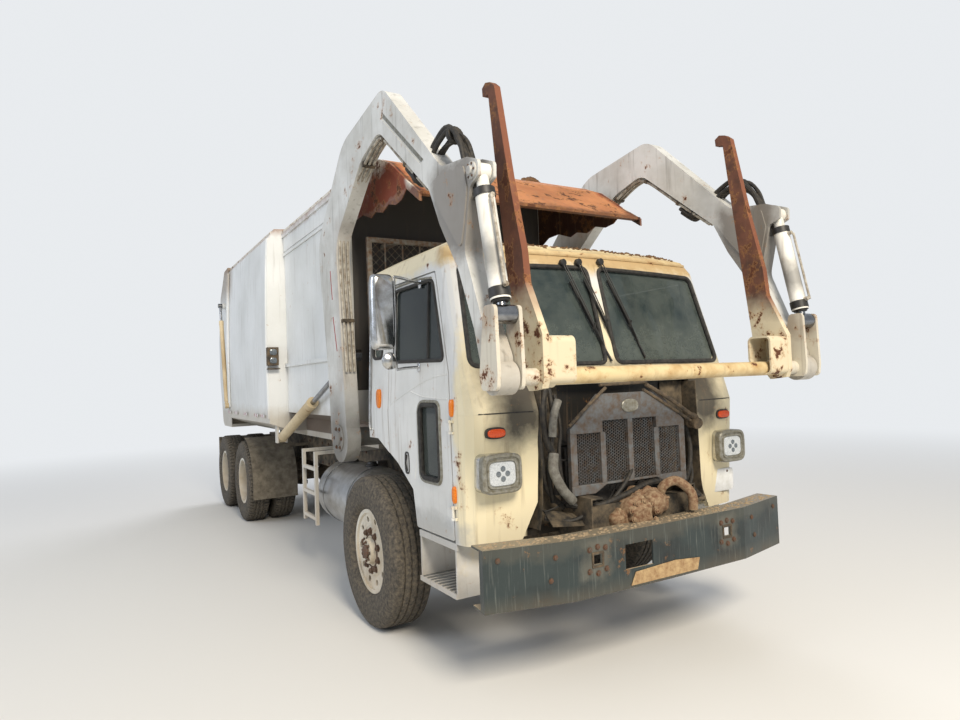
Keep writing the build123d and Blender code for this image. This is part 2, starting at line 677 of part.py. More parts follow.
def cab_width_at(z):
    """Half width of the cab at a level."""
    for low, high in zip(CAB_LEVELS, CAB_LEVELS[1:]):
        if low[0] <= z <= high[0]:
            return low[1] + (high[1] - low[1]) * (z - low[0]) / (high[0] - low[0])
    return CAB_LEVELS[-1][1]


def hinge_x():
    """Place of the door's hinge axis, just outside the skin at every hinge."""
    return max(cab_width_at(level) for level in HINGE_LEVELS) + HINGE_R - 2


def hinge_pair(level):
    """One door hinge: the cab's pin between two lugs, and the door's knuckle."""
    skin = cab_width_at(level)
    x = hinge_x()
    door_edge = DOOR_OUTLINE[0][0]
    fixed = Pos(x, HINGE_Y, level) * Cylinder(HINGE_PIN_R, HINGE_KNUCKLE_H + 2 * HINGE_LUG_H)
    for side in (-1, 1):
        z = level + side * (HINGE_KNUCKLE_H + HINGE_LUG_H) / 2
        half = HINGE_LUG_H / 2 - 0.5
        fixed += Pos(x, HINGE_Y, z) * Cylinder(HINGE_R, 2 * half)
        fixed += box(skin - 12, x, HINGE_Y - 26, HINGE_Y, z - half, z + half)
    half = HINGE_KNUCKLE_H / 2 - 0.5
    moving = Pos(x, HINGE_Y, level) * Cylinder(HINGE_R - 4, 2 * half)
    moving += box(x - 4, x + 5, HINGE_Y, door_edge + 40, level - half, level + half)
    moving += box(skin - 12, x + 5, door_edge + 3, door_edge + 40, level - half, level + half)
    moving -= Pos(x, HINGE_Y, level) * Cylinder(HINGE_PIN_R + RUN, 3 * HINGE_KNUCKLE_H)
    return fixed, moving


# Front pieces
def grille():
    """Cast frame with four mesh columns, narrower at its top, held on two bars from the radiator."""
    low = GRILLE_BOTTOM
    points = ((-479, low), (-479, 1434), (-246, GRILLE_TOP), (246, GRILLE_TOP), (479, 1434), (479, low))
    back = GRILLE_Y + GRILLE_T
    plate = front_plate(points, GRILLE_Y, back, 18)
    for number in range(GRILLE_COLUMNS):
        x = (number - (GRILLE_COLUMNS - 1) / 2) * GRILLE_PITCH
        sill = low + 60
        top = 1400.0 if abs(x) > GRILLE_PITCH else 1470.0
        half = GRILLE_SLOT_HALF
        plate -= box(x - half, x + half, GRILLE_Y - 20, back + 20, sill, top)
        for slat in range(GRILLE_SLATS):
            z = sill + (top - sill) * (slat + 0.5) / GRILLE_SLATS
            plate += box(x - half - 1, x + half + 1, GRILLE_Y + 14, GRILLE_Y + 24, z - 5, z + 5)
    for x in (-GRILLE_PITCH, GRILLE_PITCH):
        plate += box(x - 20, x + 20, back - 10, RADIATOR_FRONT - SEAT, 1150, 1190)
    return plate


def bumper():
    """Deep channel, swept back at the ends, on two brackets from the rails."""
    front = ((-BUMPER_HALF, BUMPER_END_Y), (-700, BUMPER_FRONT + 12), (0, BUMPER_FRONT),
             (700, BUMPER_FRONT + 12), (BUMPER_HALF, BUMPER_END_Y))
    back = [(x * 0.985, y + BUMPER_DEPTH) for x, y in reversed(front)]
    height = BUMPER_HIGH - BUMPER_LOW
    body = extrude(Pos(0, 0, BUMPER_LOW) * outline([*front, *back]), height)
    inner_front = [(x * 0.995, y + BUMPER_PLATE) for x, y in front]
    inner_back = [(x * 0.995, y + BUMPER_DEPTH + 40) for x, y in reversed(front)]
    inner = outline([*inner_front, *inner_back])
    body -= extrude(Pos(0, 0, BUMPER_LOW + BUMPER_PLATE) * inner, height - 2 * BUMPER_PLATE)
    middle, half, low, high = BUMPER_HOLE
    for x in (-middle, middle):
        body -= box(x - half, x + half, BUMPER_FRONT - 20, BUMPER_FRONT + 40, low, high)
    x0, x1, low, high = BUMPER_SLOT
    body -= box(x0, x1, BUMPER_FRONT - 20, BUMPER_FRONT + 40, low, high)
    bracket_x = RAIL_OUT - 45
    for x in (-bracket_x, bracket_x):
        body += box(x - 40, x + 40, BUMPER_FRONT + BUMPER_PLATE - 2, RAIL_FRONT - SEAT, 790, 850)
    return body


def engine():
    """One plain block on four feet that rest on the rails."""
    foot_out = RAIL_OUT - 32
    block = box(-ENGINE_HALF, ENGINE_HALF, *ENGINE_Y, *ENGINE_Z)
    for y in ENGINE_FEET_Y:
        block += box(-foot_out, foot_out, y - 40, y + 40, RAIL_TOP + SEAT, RAIL_TOP + 50)
    return block


def radiator():
    """Core that rests on the rails, with its lower tank between them."""
    back = RADIATOR_FRONT + RADIATOR_T
    low_half = RAIL_OUT - RAIL_FLANGE - 8
    core = box(-RADIATOR_HALF, RADIATOR_HALF, RADIATOR_FRONT, back, RAIL_TOP + SEAT, 1310)
    return core + box(-low_half, low_half, RADIATOR_FRONT, back, 790, RAIL_TOP + 10)


# Body
def hopper_section(half, top, inset):
    trough = TROUGH_HALF - inset
    half -= inset
    low = FLOOR_Z + inset
    knee = SKIRT_Z + 120
    return ((-trough, low), (-trough, knee - 80), (-half, knee), (-half, top), (half, top), (half, knee),
            (trough, knee - 80), (trough, low))


def hopper():
    """Open box between the arms, its floor narrowed to a trough, with a rail along each top edge."""
    outer = front_plate(hopper_section(HOPPER_HALF, HOPPER_TOP, 0), HOPPER_FRONT, STEP_Y)
    inner = hopper_section(HOPPER_HALF, HOPPER_TOP + 50, SHEET)
    inner = front_plate(inner, HOPPER_FRONT + SHEET, STEP_Y + 10)
    rib_out = HOPPER_HALF + RIB
    rail = box(HOPPER_HALF - 60, rib_out, HOPPER_FRONT, STEP_Y, HOPPER_TOP - 60, HOPPER_TOP)
    sill = box(HOPPER_HALF - SHEET, rib_out, HOPPER_FRONT, STEP_Y, *HOPPER_SILL_Z)
    return outer - inner + rail + other(rail) + sill + other(sill)


def body_face(inset):
    half = BODY_HALF - inset
    trough = TROUGH_HALF - inset
    low = FLOOR_Z + inset
    top = BODY_TOP - inset
    skirt = SKIRT_Z + inset
    lines = (Line((-trough, low), (trough, low)) + Line((trough, low), (half - 8, skirt))
             + ThreePointArc((half - 8, skirt), (half, 2400), (half - 30, top - 160))
             + Line((half - 30, top - 160), (half - 110, top - 40))
             + ThreePointArc((half - 110, top - 40), (0, top), (-half + 110, top - 40))
             + Line((-half + 110, top - 40), (-half + 30, top - 160))
             + ThreePointArc((-half + 30, top - 160), (-half, 2400), (-half + 8, skirt))
             + Line((-half + 8, skirt), (-trough, low)))
    return make_face(lines)


def body_outer(grow=0.0):
    """The load body's outer form."""
    return extrude(front_plane(BODY_REAR) * body_face(-grow), BODY_REAR - STEP_Y)


def body_shell():
    """Load body: bowed sides and roof, open to the hopper and closed by the tailgate."""
    inner = extrude(front_plane(BODY_REAR + 20) * body_face(SHEET), BODY_REAR + 20 - STEP_Y - SHEET)
    shell = body_outer() - inner
    way = hopper_section(HOPPER_HALF, HOPPER_TOP - 60, SHEET)
    shell -= front_plate(way, STEP_Y - 20, STEP_Y + SHEET + 20)
    hinge_y, hinge_z = GATE_HINGE
    lug_x = GATE_HINGE_X - 60
    for x in (-lug_x, lug_x):
        shell += box(x - 20, x + 20, hinge_y - 160, hinge_y + 30, BODY_TOP - 30, hinge_z + 30)
    return shell + cross_bar(GATE_HINGE_R, -GATE_HINGE_X - 25, GATE_HINGE_X + 25, GATE_HINGE)


def underside(x):
    """Level of the body's sloping underside."""
    return FLOOR_Z + (SKIRT_Z - FLOOR_Z) * (x - TROUGH_HALF) / (BODY_HALF - 8 - TROUGH_HALF)


def cylinder_lugs():
    """Base pins of the lift and tailgate cylinders, each on its plates against the body."""
    y, z = LIFT_BASE
    reach = LUG_GAP + 16
    lift = cross_bar(PIN_R, LIFT_X - reach, LIFT_X + reach, LIFT_BASE)
    for x0, x1 in ((LIFT_X - reach, LIFT_X - LUG_GAP), (LIFT_X + LUG_GAP, LIFT_X + reach)):
        corners = ((x0, z - 50), (x1, z - 50), (x1, underside(x1) - SEAT), (x0, underside(x0) - SEAT))
        lift += front_plate(corners, y - 45, y + 60)
    gate = cross_bar(GATE_PIN_R, BODY_HALF - 60, GATE_CYL_X + 28, GATE_BASE)
    gate += cross_bar(GATE_PIN_R + 25, BODY_HALF - 60, GATE_CYL_X - GATE_EYE_HALF - SEAT, GATE_BASE)
    return lift, gate - body_outer(SEAT)


def subframe():
    """Two beams under the body, with the pedestals that carry the arms' torque tube."""
    y, z = ARM_PIVOT
    beam = box(RAIL_OUT - 80, RAIL_OUT, y - 110, BODY_REAR + 250, RAIL_TOP, FLOOR_Z)
    block = box(RAIL_OUT - 80, RAIL_OUT + 20, y - 110, y + 110, FLOOR_Z, z + 110)
    block -= cross_bar(TORQUE_TUBE_R + RUN, 0, 700, ARM_PIVOT)
    return beam + block


def canopy():
    """Domed sheet over the cab with a lip in front, and a flanged wing plate each side."""
    curve = list(CANOPY_CURVE)
    nose_y, nose_z = curve[0]
    roof = side_plate(curve + [(y, z - SHEET) for y, z in reversed(curve)], -HOPPER_HALF, HOPPER_HALF)
    wing = side_plate([*curve, *CANOPY_RAGGED], HOPPER_HALF - SHEET, HOPPER_HALF)
    band = curve + [(y, z - CANOPY_FLANGE) for y, z in reversed(curve)]
    side = wing + side_plate(band, HOPPER_HALF - SHEET, HOPPER_HALF + 12)
    lip = box(-HOPPER_HALF, HOPPER_HALF, nose_y, nose_y + CANOPY_FLANGE, nose_z - 8, nose_z + 12)
    return roof + side + other(side) + lip


def mesh_screen():
    """Guard behind the cab: a frame with upright bars, held off the hopper."""
    y0, y1 = GUARD_Y
    z0, z1 = GUARD_Z
    half = HOPPER_HALF - 40
    edge = GUARD_EDGE
    frame = box(-half, half, y0, y1, z0, z1)
    frame -= box(edge - half, half - edge, y0 - 10, y1 + 10, z0 + edge, z1 - edge)
    for number in range(1, GUARD_BARS):
        x = -half + 2 * half * number / GUARD_BARS
        frame += box(x - 5, x + 5, y0 + 10, y0 + 20, z0 + 20, z1 - 20)
    for x in (-GUARD_BRACKET_X, GUARD_BRACKET_X):
        for z in (z0 + 20, z1 - 20):
            frame += box(x - 25, x + 25, y1 - 2, HOPPER_FRONT, z - 20, z + 20)
    return frame


def gate_profile(inset):
    """Side outline of the tailgate, from its front face round to the bottom."""
    front = BODY_REAR + GAP
    top = BODY_TOP - 60 - inset
    return ((front, 1200 + inset), (front, top), (BODY_REAR + 300, top - 20),
            (BODY_REAR + 690 - inset, BODY_TOP - 440), (BODY_REAR + 920 - inset, 2500),
            (BODY_REAR + 900 - inset, 1900), (BODY_REAR + 700 - inset, 1260 + inset),
            (BODY_REAR + 600, 1200 + inset))


def tailgate():
    """Bowed door at the rear, hung from its top edge, with ribs across its skin."""
    half = BODY_HALF - 40
    gate = side_plate(gate_profile(0), -half, half)
    ribs = side_plate(gate_profile(-RIB), RIB_HALF - half, half - RIB_HALF)
    for z in GATE_RIBS_Z:
        gate += ribs & box(-half, half, BODY_REAR + 500, BODY_REAR + 1100, z - RIB_HALF, z + RIB_HALF)
    gate -= side_plate(gate_profile(40), SHEET - half, half - SHEET)
    gate -= box(SHEET - half, half - SHEET, BODY_REAR, BODY_REAR + 60, 1240, BODY_TOP - 100)
    hinge_y, hinge_z = GATE_HINGE
    for x in (-GATE_HINGE_X, GATE_HINGE_X):
        gate += box(x - 18, x + 18, hinge_y - 25, BODY_REAR + 260, BODY_TOP - 120, hinge_z + 30)
        gate -= cross_bar(GATE_HINGE_R + RUN, x - 60, x + 60, GATE_HINGE)
    ear = cross_bar(45, BODY_HALF - 60, GATE_CYL_X - GATE_EYE_HALF - SEAT, GATE_EYE)
    return gate + ear + other(ear)


def packer():
    """Sloping blade that pushes the load back, wider above the trough's edge."""
    trough = TROUGH_HALF - SHEET - PACKER_GAP
    wide = HOPPER_HALF - SHEET - PACKER_GAP
    upper = side_plate(PACKER_PROFILE, -wide, wide) & box(-wide, wide, 900, 1600, SKIRT_Z + 140, 2500)
    return side_plate(PACKER_PROFILE, -trough, trough) + upper


# Arms and forks
def arm():
    """Box-section arm: rear leg, arch over the cab and forearm in one outline, with elbow gussets."""
    face = outline([(y, z) for y, z, radius in ARM_CORNERS])
    for y, z, radius in ARM_CORNERS:
        if radius:
            corner = min(face.vertices(), key=lambda v: math.dist((v.X, v.Y), (y, z)))
            face = fillet([corner], radius)
    plate = extrude(side_plane(ARM_IN) * face, ARM_W)
    plate += side_plate(ARM_GUSSET, ARM_IN - ARM_PLATE_T, ARM_OUT + ARM_PLATE_T, 25)
    plate -= side_plate(ARM_STRIP, ARM_OUT - ARM_RECESS, ARM_OUT + 20)
    plate += cross_bar(190, ARM_IN, ARM_OUT, ARM_PIVOT)
    plate += cross_bar(ARM_BOSS_R, ARM_IN, ARM_OUT, FORK_PIVOT)
    plate -= cross_bar(FORK_HUB_R + RUN, ARM_IN - 50, ARM_OUT + 50, FORK_PIVOT)
    pin_y, pin_z = FORK_CYL_PIN
    plate -= box(ARM_MID - EAR_GAP, ARM_MID + EAR_GAP, pin_y - 150, pin_y + 62, pin_z - 140, pin_z + 140)
    plate += cross_bar(PIN_R, ARM_IN, ARM_OUT, FORK_CYL_PIN)
    return plate + cross_bar(60, LIFT_X + EYE_HALF + SEAT, ARM_IN, LIFT_EYE)


def torque_tube():
    """Tube between the arms' feet, turning in the subframe's pedestals."""
    return cross_bar(TORQUE_TUBE_R, -ARM_IN, ARM_IN, ARM_PIVOT)


def fork_shaft():
    """Cross tube with a lever each side that straddles the arm's end."""
    inside = ARM_IN - LEVER_GAP
    outside = ARM_OUT + LEVER_GAP
    tube = cross_bar(CROSS_TUBE_R, -inside, inside, FORK_PIVOT)
    y, z = FORK_PIVOT
    ly, lz = FORK_LEVER_PIN
    lever = ((y - 85, z - 60), (y + 60, z - 60), (y + 75, z + 20), (ly + 50, lz + 45), (ly - 50, lz + 45),
             (y - LEVER_HEEL, z + 20))
    half = cross_bar(FORK_HUB_R, inside - 10, outside + 10, FORK_PIVOT)
    for x0 in (inside - LEVER_T, outside):
        half = half + side_plate(lever, x0, x0 + LEVER_T, 30)
    return tube + half + other(half)


def from_pivot(points):
    """Points given from the fork pivot, in Y and Z."""
    return [(FORK_PIVOT[0] + y, FORK_PIVOT[1] + z) for y, z in points]


def fork():
    """Tapered plate with a hook at its tip, and a bent guard plate round the tube beside it."""
    inside = FORK_X - FORK_T / 2
    blade = side_plate(from_pivot(FORK_BLADE), inside, inside + FORK_T)
    pad = side_plate(from_pivot(PAD_SECTION), PAD_IN, inside, 38)
    pad -= side_plate(from_pivot(PAD_SECTION), PAD_IN - 10, inside, 38, -PAD_T)
    collar = cross_bar(CROSS_TUBE_R + 14, inside - 60, inside, FORK_PIVOT)
    return blade + pad + collar - cross_bar(CROSS_TUBE_R, 0, ARM_OUT, FORK_PIVOT)


def cylinder_barrel(base, eye, x, radius, length, rod_radius, pin_radius, base_half, neck_length):
    """Barrel on a slimmer neck with an eye round its base pin, bored for the rod."""
    neck_radius = base_half - 3
    barrel = rod((x, *ahead(base, eye, neck_length)), (x, *ahead(base, eye, length)), radius)
    neck = rod((x, *base), (x, *ahead(base, eye, neck_length + 10)), neck_radius)
    gland = rod((x, *ahead(base, eye, length - 60)), (x, *ahead(base, eye, length)), radius + 3)
    ring = cross_bar(pin_radius + 20, x - base_half, x + base_half, base)
    barrel = barrel + neck + gland + ring
    barrel -= cross_bar(pin_radius + RUN, x - 90, x + 90, base)
    bore_start, bore_end = ahead(base, eye, pin_radius + 45), ahead(base, eye, length + 10)
    return barrel - rod((x, *bore_start), (x, *bore_end), rod_radius + RUN)


def cylinder_rod(base, eye, x, radius, length, eye_half, eye_radius):
    """Rod with the eye at its end."""
    bar = rod((x, *ahead(eye, base, length)), (x, *eye), radius)
    return bar + cross_bar(eye_radius, x - eye_half, x + eye_half, eye)


def lamp(cab):
    """Headlamp block with a bezel and a raised lens, cut to the corner panel's surface."""
    x, z = LAMP_AT
    block = outline_block(x, z, 115, 110, LAMP_FRONT, -1290, 35)
    block -= outline_block(x, z, 97, 92, LAMP_FRONT - 10, LAMP_FRONT + 16, 26)
    block += outline_block(x, z, 88, 78, LAMP_FRONT + 4, LAMP_FRONT + 20, 22)
    return block - cab


def outline_block(x, z, half_x, half_z, y0, y1, radius):
    """Block with rounded edges from front to back, seen from the front."""
    left, right, low, high = x - half_x, x + half_x, z - half_z, z + half_z
    return front_plate(((left, low), (left, high), (right, high), (right, low)), y0, y1, radius)


def cab_step():
    """Tread on two brackets under the cab's sill."""
    inside, outside = CAB_STEP_X
    front, rear = CAB_STEP_Y
    low, high = CAB_STEP_Z
    top = CAB_LEVELS[0][0] - SEAT
    step = box(inside, outside, front, rear, low, high)
    for y in (front, rear - CAB_STEP_PLATE):
        step += box(inside + 20, outside - 10, y, y + CAB_STEP_PLATE, high - 10, top - 19.7)
    return step + box(inside, outside - 10, front - 10, rear + 10, top - 39.7, top)


def fuel_tank():
    """Round tank on two brackets from the right rail, with a strap over each."""
    x, z = FUEL_AT
    start, end = FUEL_Y
    tank = rod((x, start, z), (x, end, z), FUEL_R)
    for y in FUEL_STRAPS_Y:
        tank += rod((x, y - 30, z), (x, y + 30, z), FUEL_R + 6)
        tank += box(x + FUEL_R - 30, -RAIL_OUT - SEAT, y - 30, y + 30, RAIL_TOP - RAIL_H - 60, RAIL_TOP - 40)
    return tank


def hydraulic_tank():
    """Square tank beside the left rail, on one bracket."""
    width, length, low, high = OIL_TANK
    inside = RAIL_OUT + OIL_TANK_GAP
    front = HOPPER_FRONT + 20
    tank = box(inside, inside + width, front, front + length, low, high)
    return tank + box(RAIL_OUT + SEAT, inside + 10, front + 80, front + 280, 820, 1000)


def floor_at(y):
    """Top of the cab floor, which rises over the wheel arch."""
    for low, high in zip(CAB_UNDERSIDE, CAB_UNDERSIDE[1:]):
        if low[0] <= y <= high[0]:
            return low[1] + (high[1] - low[1]) * (y - low[0]) / (high[0] - low[0]) + CAB_WALL
    return CAB_UNDERSIDE[-1][1] + CAB_WALL


def seats():
    """The left seat on its pedestal."""
    left, right = SEAT_X - SEAT_HALF, SEAT_X + SEAT_HALF
    seat = box(left, right, *CUSHION) + box(left, right, *BACKREST)
    front, rear = SEAT_FOOT_Y
    top = CUSHION[2] + 10
    foot = ((front, floor_at(front) + SEAT), (rear, floor_at(rear) + SEAT), (rear, top), (front, top))
    return seat + side_plate(foot, SEAT_X - SEAT_FOOT_HALF, SEAT_X + SEAT_FOOT_HALF)


def steering_wheel():
    """Rim, hub and column on the driver's side, down to the dash."""
    y, z = WHEEL_AT
    tilt = Plane((SEAT_X, y, z), x_dir=(1, 0, 0), z_dir=(0, 0.45, 0.89))
    wheel = tilt * (Torus(WHEEL_R, 14) + Cylinder(45, 40))
    wheel += tilt * (Box(2 * WHEEL_R - 10, 30, 12) + Box(30, 2 * WHEEL_R - 10, 12))
    column = rod((SEAT_X, y - 5, z - 10), (SEAT_X, y - 240, z - 475), 32)
    return wheel + (column - box(SEAT_X - 100, SEAT_X + 100, y - 600, DASH_REAR, z - 600, z + 110))


def dash():
    """Dash across the cab, on the tunnel and against the firewall."""
    low = TUNNEL_TOP + SEAT
    front = NOSE_BACK + FIREWALL_T + SEAT
    rear = DASH_REAR
    return side_plate(((front, low), (front, 1690), (-1225, 1740), (-1130, 1740), (rear, 1640), (rear, low)),
                      -DASH_HALF, DASH_HALF)


def mirror_head(door):
    """Tall mirror on a bent tube, its ends cut to the door's skin."""
    y = MIRROR_Y
    low, high = MIRROR_TUBE_Z
    x, r = MIRROR_TUBE_X, MIRROR_TUBE_R
    head = box(*MIRROR_X, y - MIRROR_HALF_Y, y + MIRROR_HALF_Y, *MIRROR_Z)
    tube = rod((CAB_HALF - 75, y, high), (x, y, high), r) + rod((CAB_HALF - 45, y, low), (x, y, low), r)
    tube += rod((x, y, low - r), (x, y, high + r), r + 2)
    return largest((head + tube) - door)


def fender():
    """Quarter fender round the front of the tandem, with a flap below it, on a bar from the rail."""
    front = REAR_AXLES_Y[0]
    radius = REAR_TYRE_R + FENDER_GAP
    sheet = arc_band((front, REAR_AXLE_Z), radius, FENDER_T, 100, 180, *FENDER_X)
    flap = box(*FENDER_X, front - radius - FENDER_T, front - radius, 340, REAR_AXLE_Z + 5)
    bar = box(RAIL_OUT + SEAT, FENDER_X[1] - 50, front - 375, front - 345, *FLAP_BAR_Z)
    return sheet + flap + bar


def mud_flap():
    """Flap behind the tandem, on a cranked bar from the rail."""
    inside, outside = FENDER_X
    bar = box(RAIL_OUT + SEAT, outside - 40, RAIL_REAR - 60, RAIL_REAR - 20, *FLAP_BAR_Z)
    for x in (inside + 20, outside - 80):
        bar += box(x, x + 40, RAIL_REAR - 30, FLAP_REAR, *FLAP_BAR_Z)
    return bar + box(inside, outside, FLAP_REAR - FLAP_T, FLAP_REAR, 420, FLAP_BAR_Z[1])


def ladder():
    """Three rungs between two uprights, hung from the subframe on the right."""
    outside, inside = LADDER_X
    frame = None
    for y in LADDER_Y:
        upright = box(outside, inside, y, y + 40, 460, LADDER_TOP)
        upright += box(outside, -RAIL_OUT - SEAT, y, y + 40, LADDER_TOP - 30, LADDER_TOP)
        frame = upright if frame is None else frame + upright
    for z in RUNGS_Z:
        frame += box(outside, inside, LADDER_Y[0], LADDER_Y[1] + 40, z, z + 30)
    return frame


def build():
    put("frame_rails", both(frame_rails()))
    put("crossmembers", crossmembers())
    put("front_axle", front_axle())
    put("tandem_axles", tandem_axles())
    put("suspension", both(front_springs()), both(tandem_suspension()))
    put("engine", engine())
    put("radiator", radiator())
    walls, roof, rear, corner, door = (largest(part) for part in cab_parts())
    screen, door_glass, quarter_glass = cab_panes()
    mirror_piece = mirror_head(door)
    for level in HINGE_LEVELS:
        fixed, moving = hinge_pair(level)
        corner += fixed
        door += moving
    put("cab_shell", walls)
    put("cab_panels", roof, rear, both(corner))
    pan, tunnel = floor_parts()
    put("cab_floor", both(pan), tunnel)
    put("cab_glass", both(screen), both(quarter_glass))
    for side, turn in (("left", lambda part: part), ("right", other)):
        put(f"door_{side}", turn(door))
        put(f"door_glass_{side}", turn(door_glass))
        put(f"mirror_{side}", turn(mirror_piece))
        put(f"knuckle_{side}", turn(knuckle()))
        put(f"front_rim_{side}", turn(front_rim()))
        put(f"front_tyre_{side}", turn(tyre(FRONT_TYRE_R, FRONT_TYRE_W, FRONT_WHEEL_X, (0, FRONT_AXLE_Z))))
        for number, y in enumerate(REAR_AXLES_Y, 2):
            tyres = [tyre(REAR_TYRE_R, REAR_TYRE_W, DUAL_CENTRE_X + step, (y, REAR_AXLE_Z))
                     for step in (-DUAL_SPACING / 2, DUAL_SPACING / 2)]
            put(f"axle{number}_rim_{side}", turn(dual_rim(y)))
            put(f"axle{number}_tyres_{side}", [turn(one) for one in tyres])
    put("grille", grille())
    put("bumper", bumper())
    put("lamps", both(lamp(cab_solid(0.0, 0.0))))
    put("cab_steps", both(cab_step()))
    put("fuel_tank", fuel_tank())
    put("hydraulic_tank", hydraulic_tank())
    put("seats", both(seats()))
    put("dash", dash())
    put("steering_wheel", steering_wheel())
    put("hopper", hopper())
    put("body_shell", body_shell())
    lift_lug, gate_lug = cylinder_lugs()
    put("cylinder_lugs", both(lift_lug), both(largest(gate_lug)))
    put("subframe", both(subframe()))
    put("canopy", canopy())
    put("mesh_screen", mesh_screen())
    put("packer_blade", packer())
    put("ladder", ladder())
    put("fenders", both(fender()), both(mud_flap()))
    put("lift_arms", both(arm()))
    put("torque_tube", torque_tube())
    put("fork_shaft", fork_shaft())
    put("forks", both(fork()))
    put("lift_barrels", both(cylinder_barrel(LIFT_BASE, LIFT_EYE, LIFT_X, LIFT_BARREL_R, LIFT_BARREL_L,
                                             LIFT_ROD_R, PIN_R, LUG_GAP - 1, 85)))
    put("lift_rods", both(cylinder_rod(LIFT_BASE, LIFT_EYE, LIFT_X, LIFT_ROD_R, LIFT_ROD_L, EYE_HALF, 48)))
    put("fork_barrels", both(cylinder_barrel(FORK_CYL_PIN, FORK_LEVER_PIN, ARM_MID, FORK_BARREL_R,
                                             FORK_BARREL_L, FORK_ROD_R, PIN_R, EAR_GAP - 1, 130)))
    fork_eye_half = (ARM_OUT - ARM_IN) / 2 + LEVER_GAP - SEAT
    put("fork_rods", both(cylinder_rod(FORK_CYL_PIN, FORK_LEVER_PIN, ARM_MID, FORK_ROD_R, FORK_ROD_L,
                                       fork_eye_half, 48)))
    put("gate_barrels", both(cylinder_barrel(GATE_BASE, GATE_EYE, GATE_CYL_X, GATE_BARREL_R, GATE_BARREL_L,
                                             GATE_ROD_R, GATE_PIN_R, 26, 60)))
    put("gate_rods", both(cylinder_rod(GATE_BASE, GATE_EYE, GATE_CYL_X, GATE_ROD_R, GATE_ROD_L,
                                       GATE_EYE_HALF, 32)))
    put("tailgate", tailgate())


build()
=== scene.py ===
"""Looks of the front-loading refuse truck, in metres in the row frame: it faces -Y and its left is +X."""
import functools
import math
import random

import bmesh
import bpy
from mathutils import Matrix, Vector
from mathutils.bvhtree import BVHTree


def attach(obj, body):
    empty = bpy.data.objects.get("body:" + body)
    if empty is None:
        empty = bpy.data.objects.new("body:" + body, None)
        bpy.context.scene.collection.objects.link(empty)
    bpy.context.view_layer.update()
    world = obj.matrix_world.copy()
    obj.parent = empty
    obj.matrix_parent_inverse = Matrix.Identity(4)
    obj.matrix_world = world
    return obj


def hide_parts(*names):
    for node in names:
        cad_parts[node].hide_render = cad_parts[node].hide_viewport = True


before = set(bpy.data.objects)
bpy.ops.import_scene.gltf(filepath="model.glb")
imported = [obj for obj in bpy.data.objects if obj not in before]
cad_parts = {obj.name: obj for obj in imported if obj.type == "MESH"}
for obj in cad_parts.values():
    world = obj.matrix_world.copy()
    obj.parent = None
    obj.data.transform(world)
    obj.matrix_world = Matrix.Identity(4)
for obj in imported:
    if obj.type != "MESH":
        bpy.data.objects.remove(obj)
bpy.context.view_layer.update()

SHIFT = -2.349          # the front axle stands at this Y
rng = random.Random(7)


# Values and small helpers
def linear(code):
    """Linear colour from an sRGB hex code, opaque."""
    parts = [int(code[i:i + 2], 16) / 255 for i in (0, 2, 4)]
    return (*[c / 12.92 if c <= 0.04045 else ((c + 0.055) / 1.055) ** 2.4 for c in parts], 1.0)


def per_metre(mm):
    """Scale of a pattern whose features lie that many millimetres apart."""
    return 1000.0 / mm


def add(tree, kind, inputs=None, **settings):
    """Adds a shader node with its settings, and its inputs as values or as nodes to link."""
    node = tree.nodes.new("ShaderNode" + kind)
    for name, value in settings.items():
        setattr(node, name, value)
    for name, value in (inputs or {}).items():
        socket = next(s for s in node.inputs if s.enabled and s.name == name)
        if isinstance(value, bpy.types.Node):
            value = next(s for s in value.outputs if s.enabled)
        if isinstance(value, bpy.types.NodeSocket):
            tree.links.new(value, socket)
        else:
            socket.default_value = value
    return node


def new_material(name):
    """Empty material with its tree, its shader and its output."""
    material = bpy.data.materials.new(name)
    material.use_nodes = True
    tree = material.node_tree
    tree.nodes.clear()
    shader = add(tree, "BsdfPrincipled")
    add(tree, "OutputMaterial", {"Surface": shader})
    return material, tree, shader


def link(tree, source, shader, name):
    """Links a node's first output to one of the shader's sockets."""
    tree.links.new(next(s for s in source.outputs if s.enabled), shader.inputs[name])


def noise(tree, place, mm, detail, roughness=0.5):
    """Cloudy pattern with features some millimetres apart."""
    return add(tree, "TexNoise", {"Vector": place, "Scale": per_metre(mm), "Detail": detail,
                                  "Roughness": roughness})


def ramp(tree, value, start, end, low=0.0, high=1.0):
    """Share that runs from low to high while a value runs from start to end."""
    return add(tree, "MapRange", {"Value": value, "From Min": start, "From Max": end, "To Min": low,
                                  "To Max": high})


def mix(tree, share, first, second):
    """Colour between two colours."""
    return add(tree, "Mix", {"Factor": share, "A": first, "B": second}, data_type="RGBA")


def combine(tree, operation, first, second):
    """Sum, product or greatest of two outputs."""
    node = add(tree, "Math", operation=operation)
    tree.links.new(first, node.inputs[0])
    tree.links.new(second, node.inputs[1])
    return node


def blend(tree, share, first, second):
    """Shader between two shaders."""
    node = add(tree, "MixShader", {"Fac": share})
    tree.links.new(first.outputs[0], node.inputs[1])
    tree.links.new(second.outputs[0], node.inputs[2])
    return node


def show(tree, shader):
    """Puts another shader at the material's output."""
    output = next(node for node in tree.nodes if node.type == "OUTPUT_MATERIAL")
    tree.links.new(shader.outputs[0], output.inputs["Surface"])


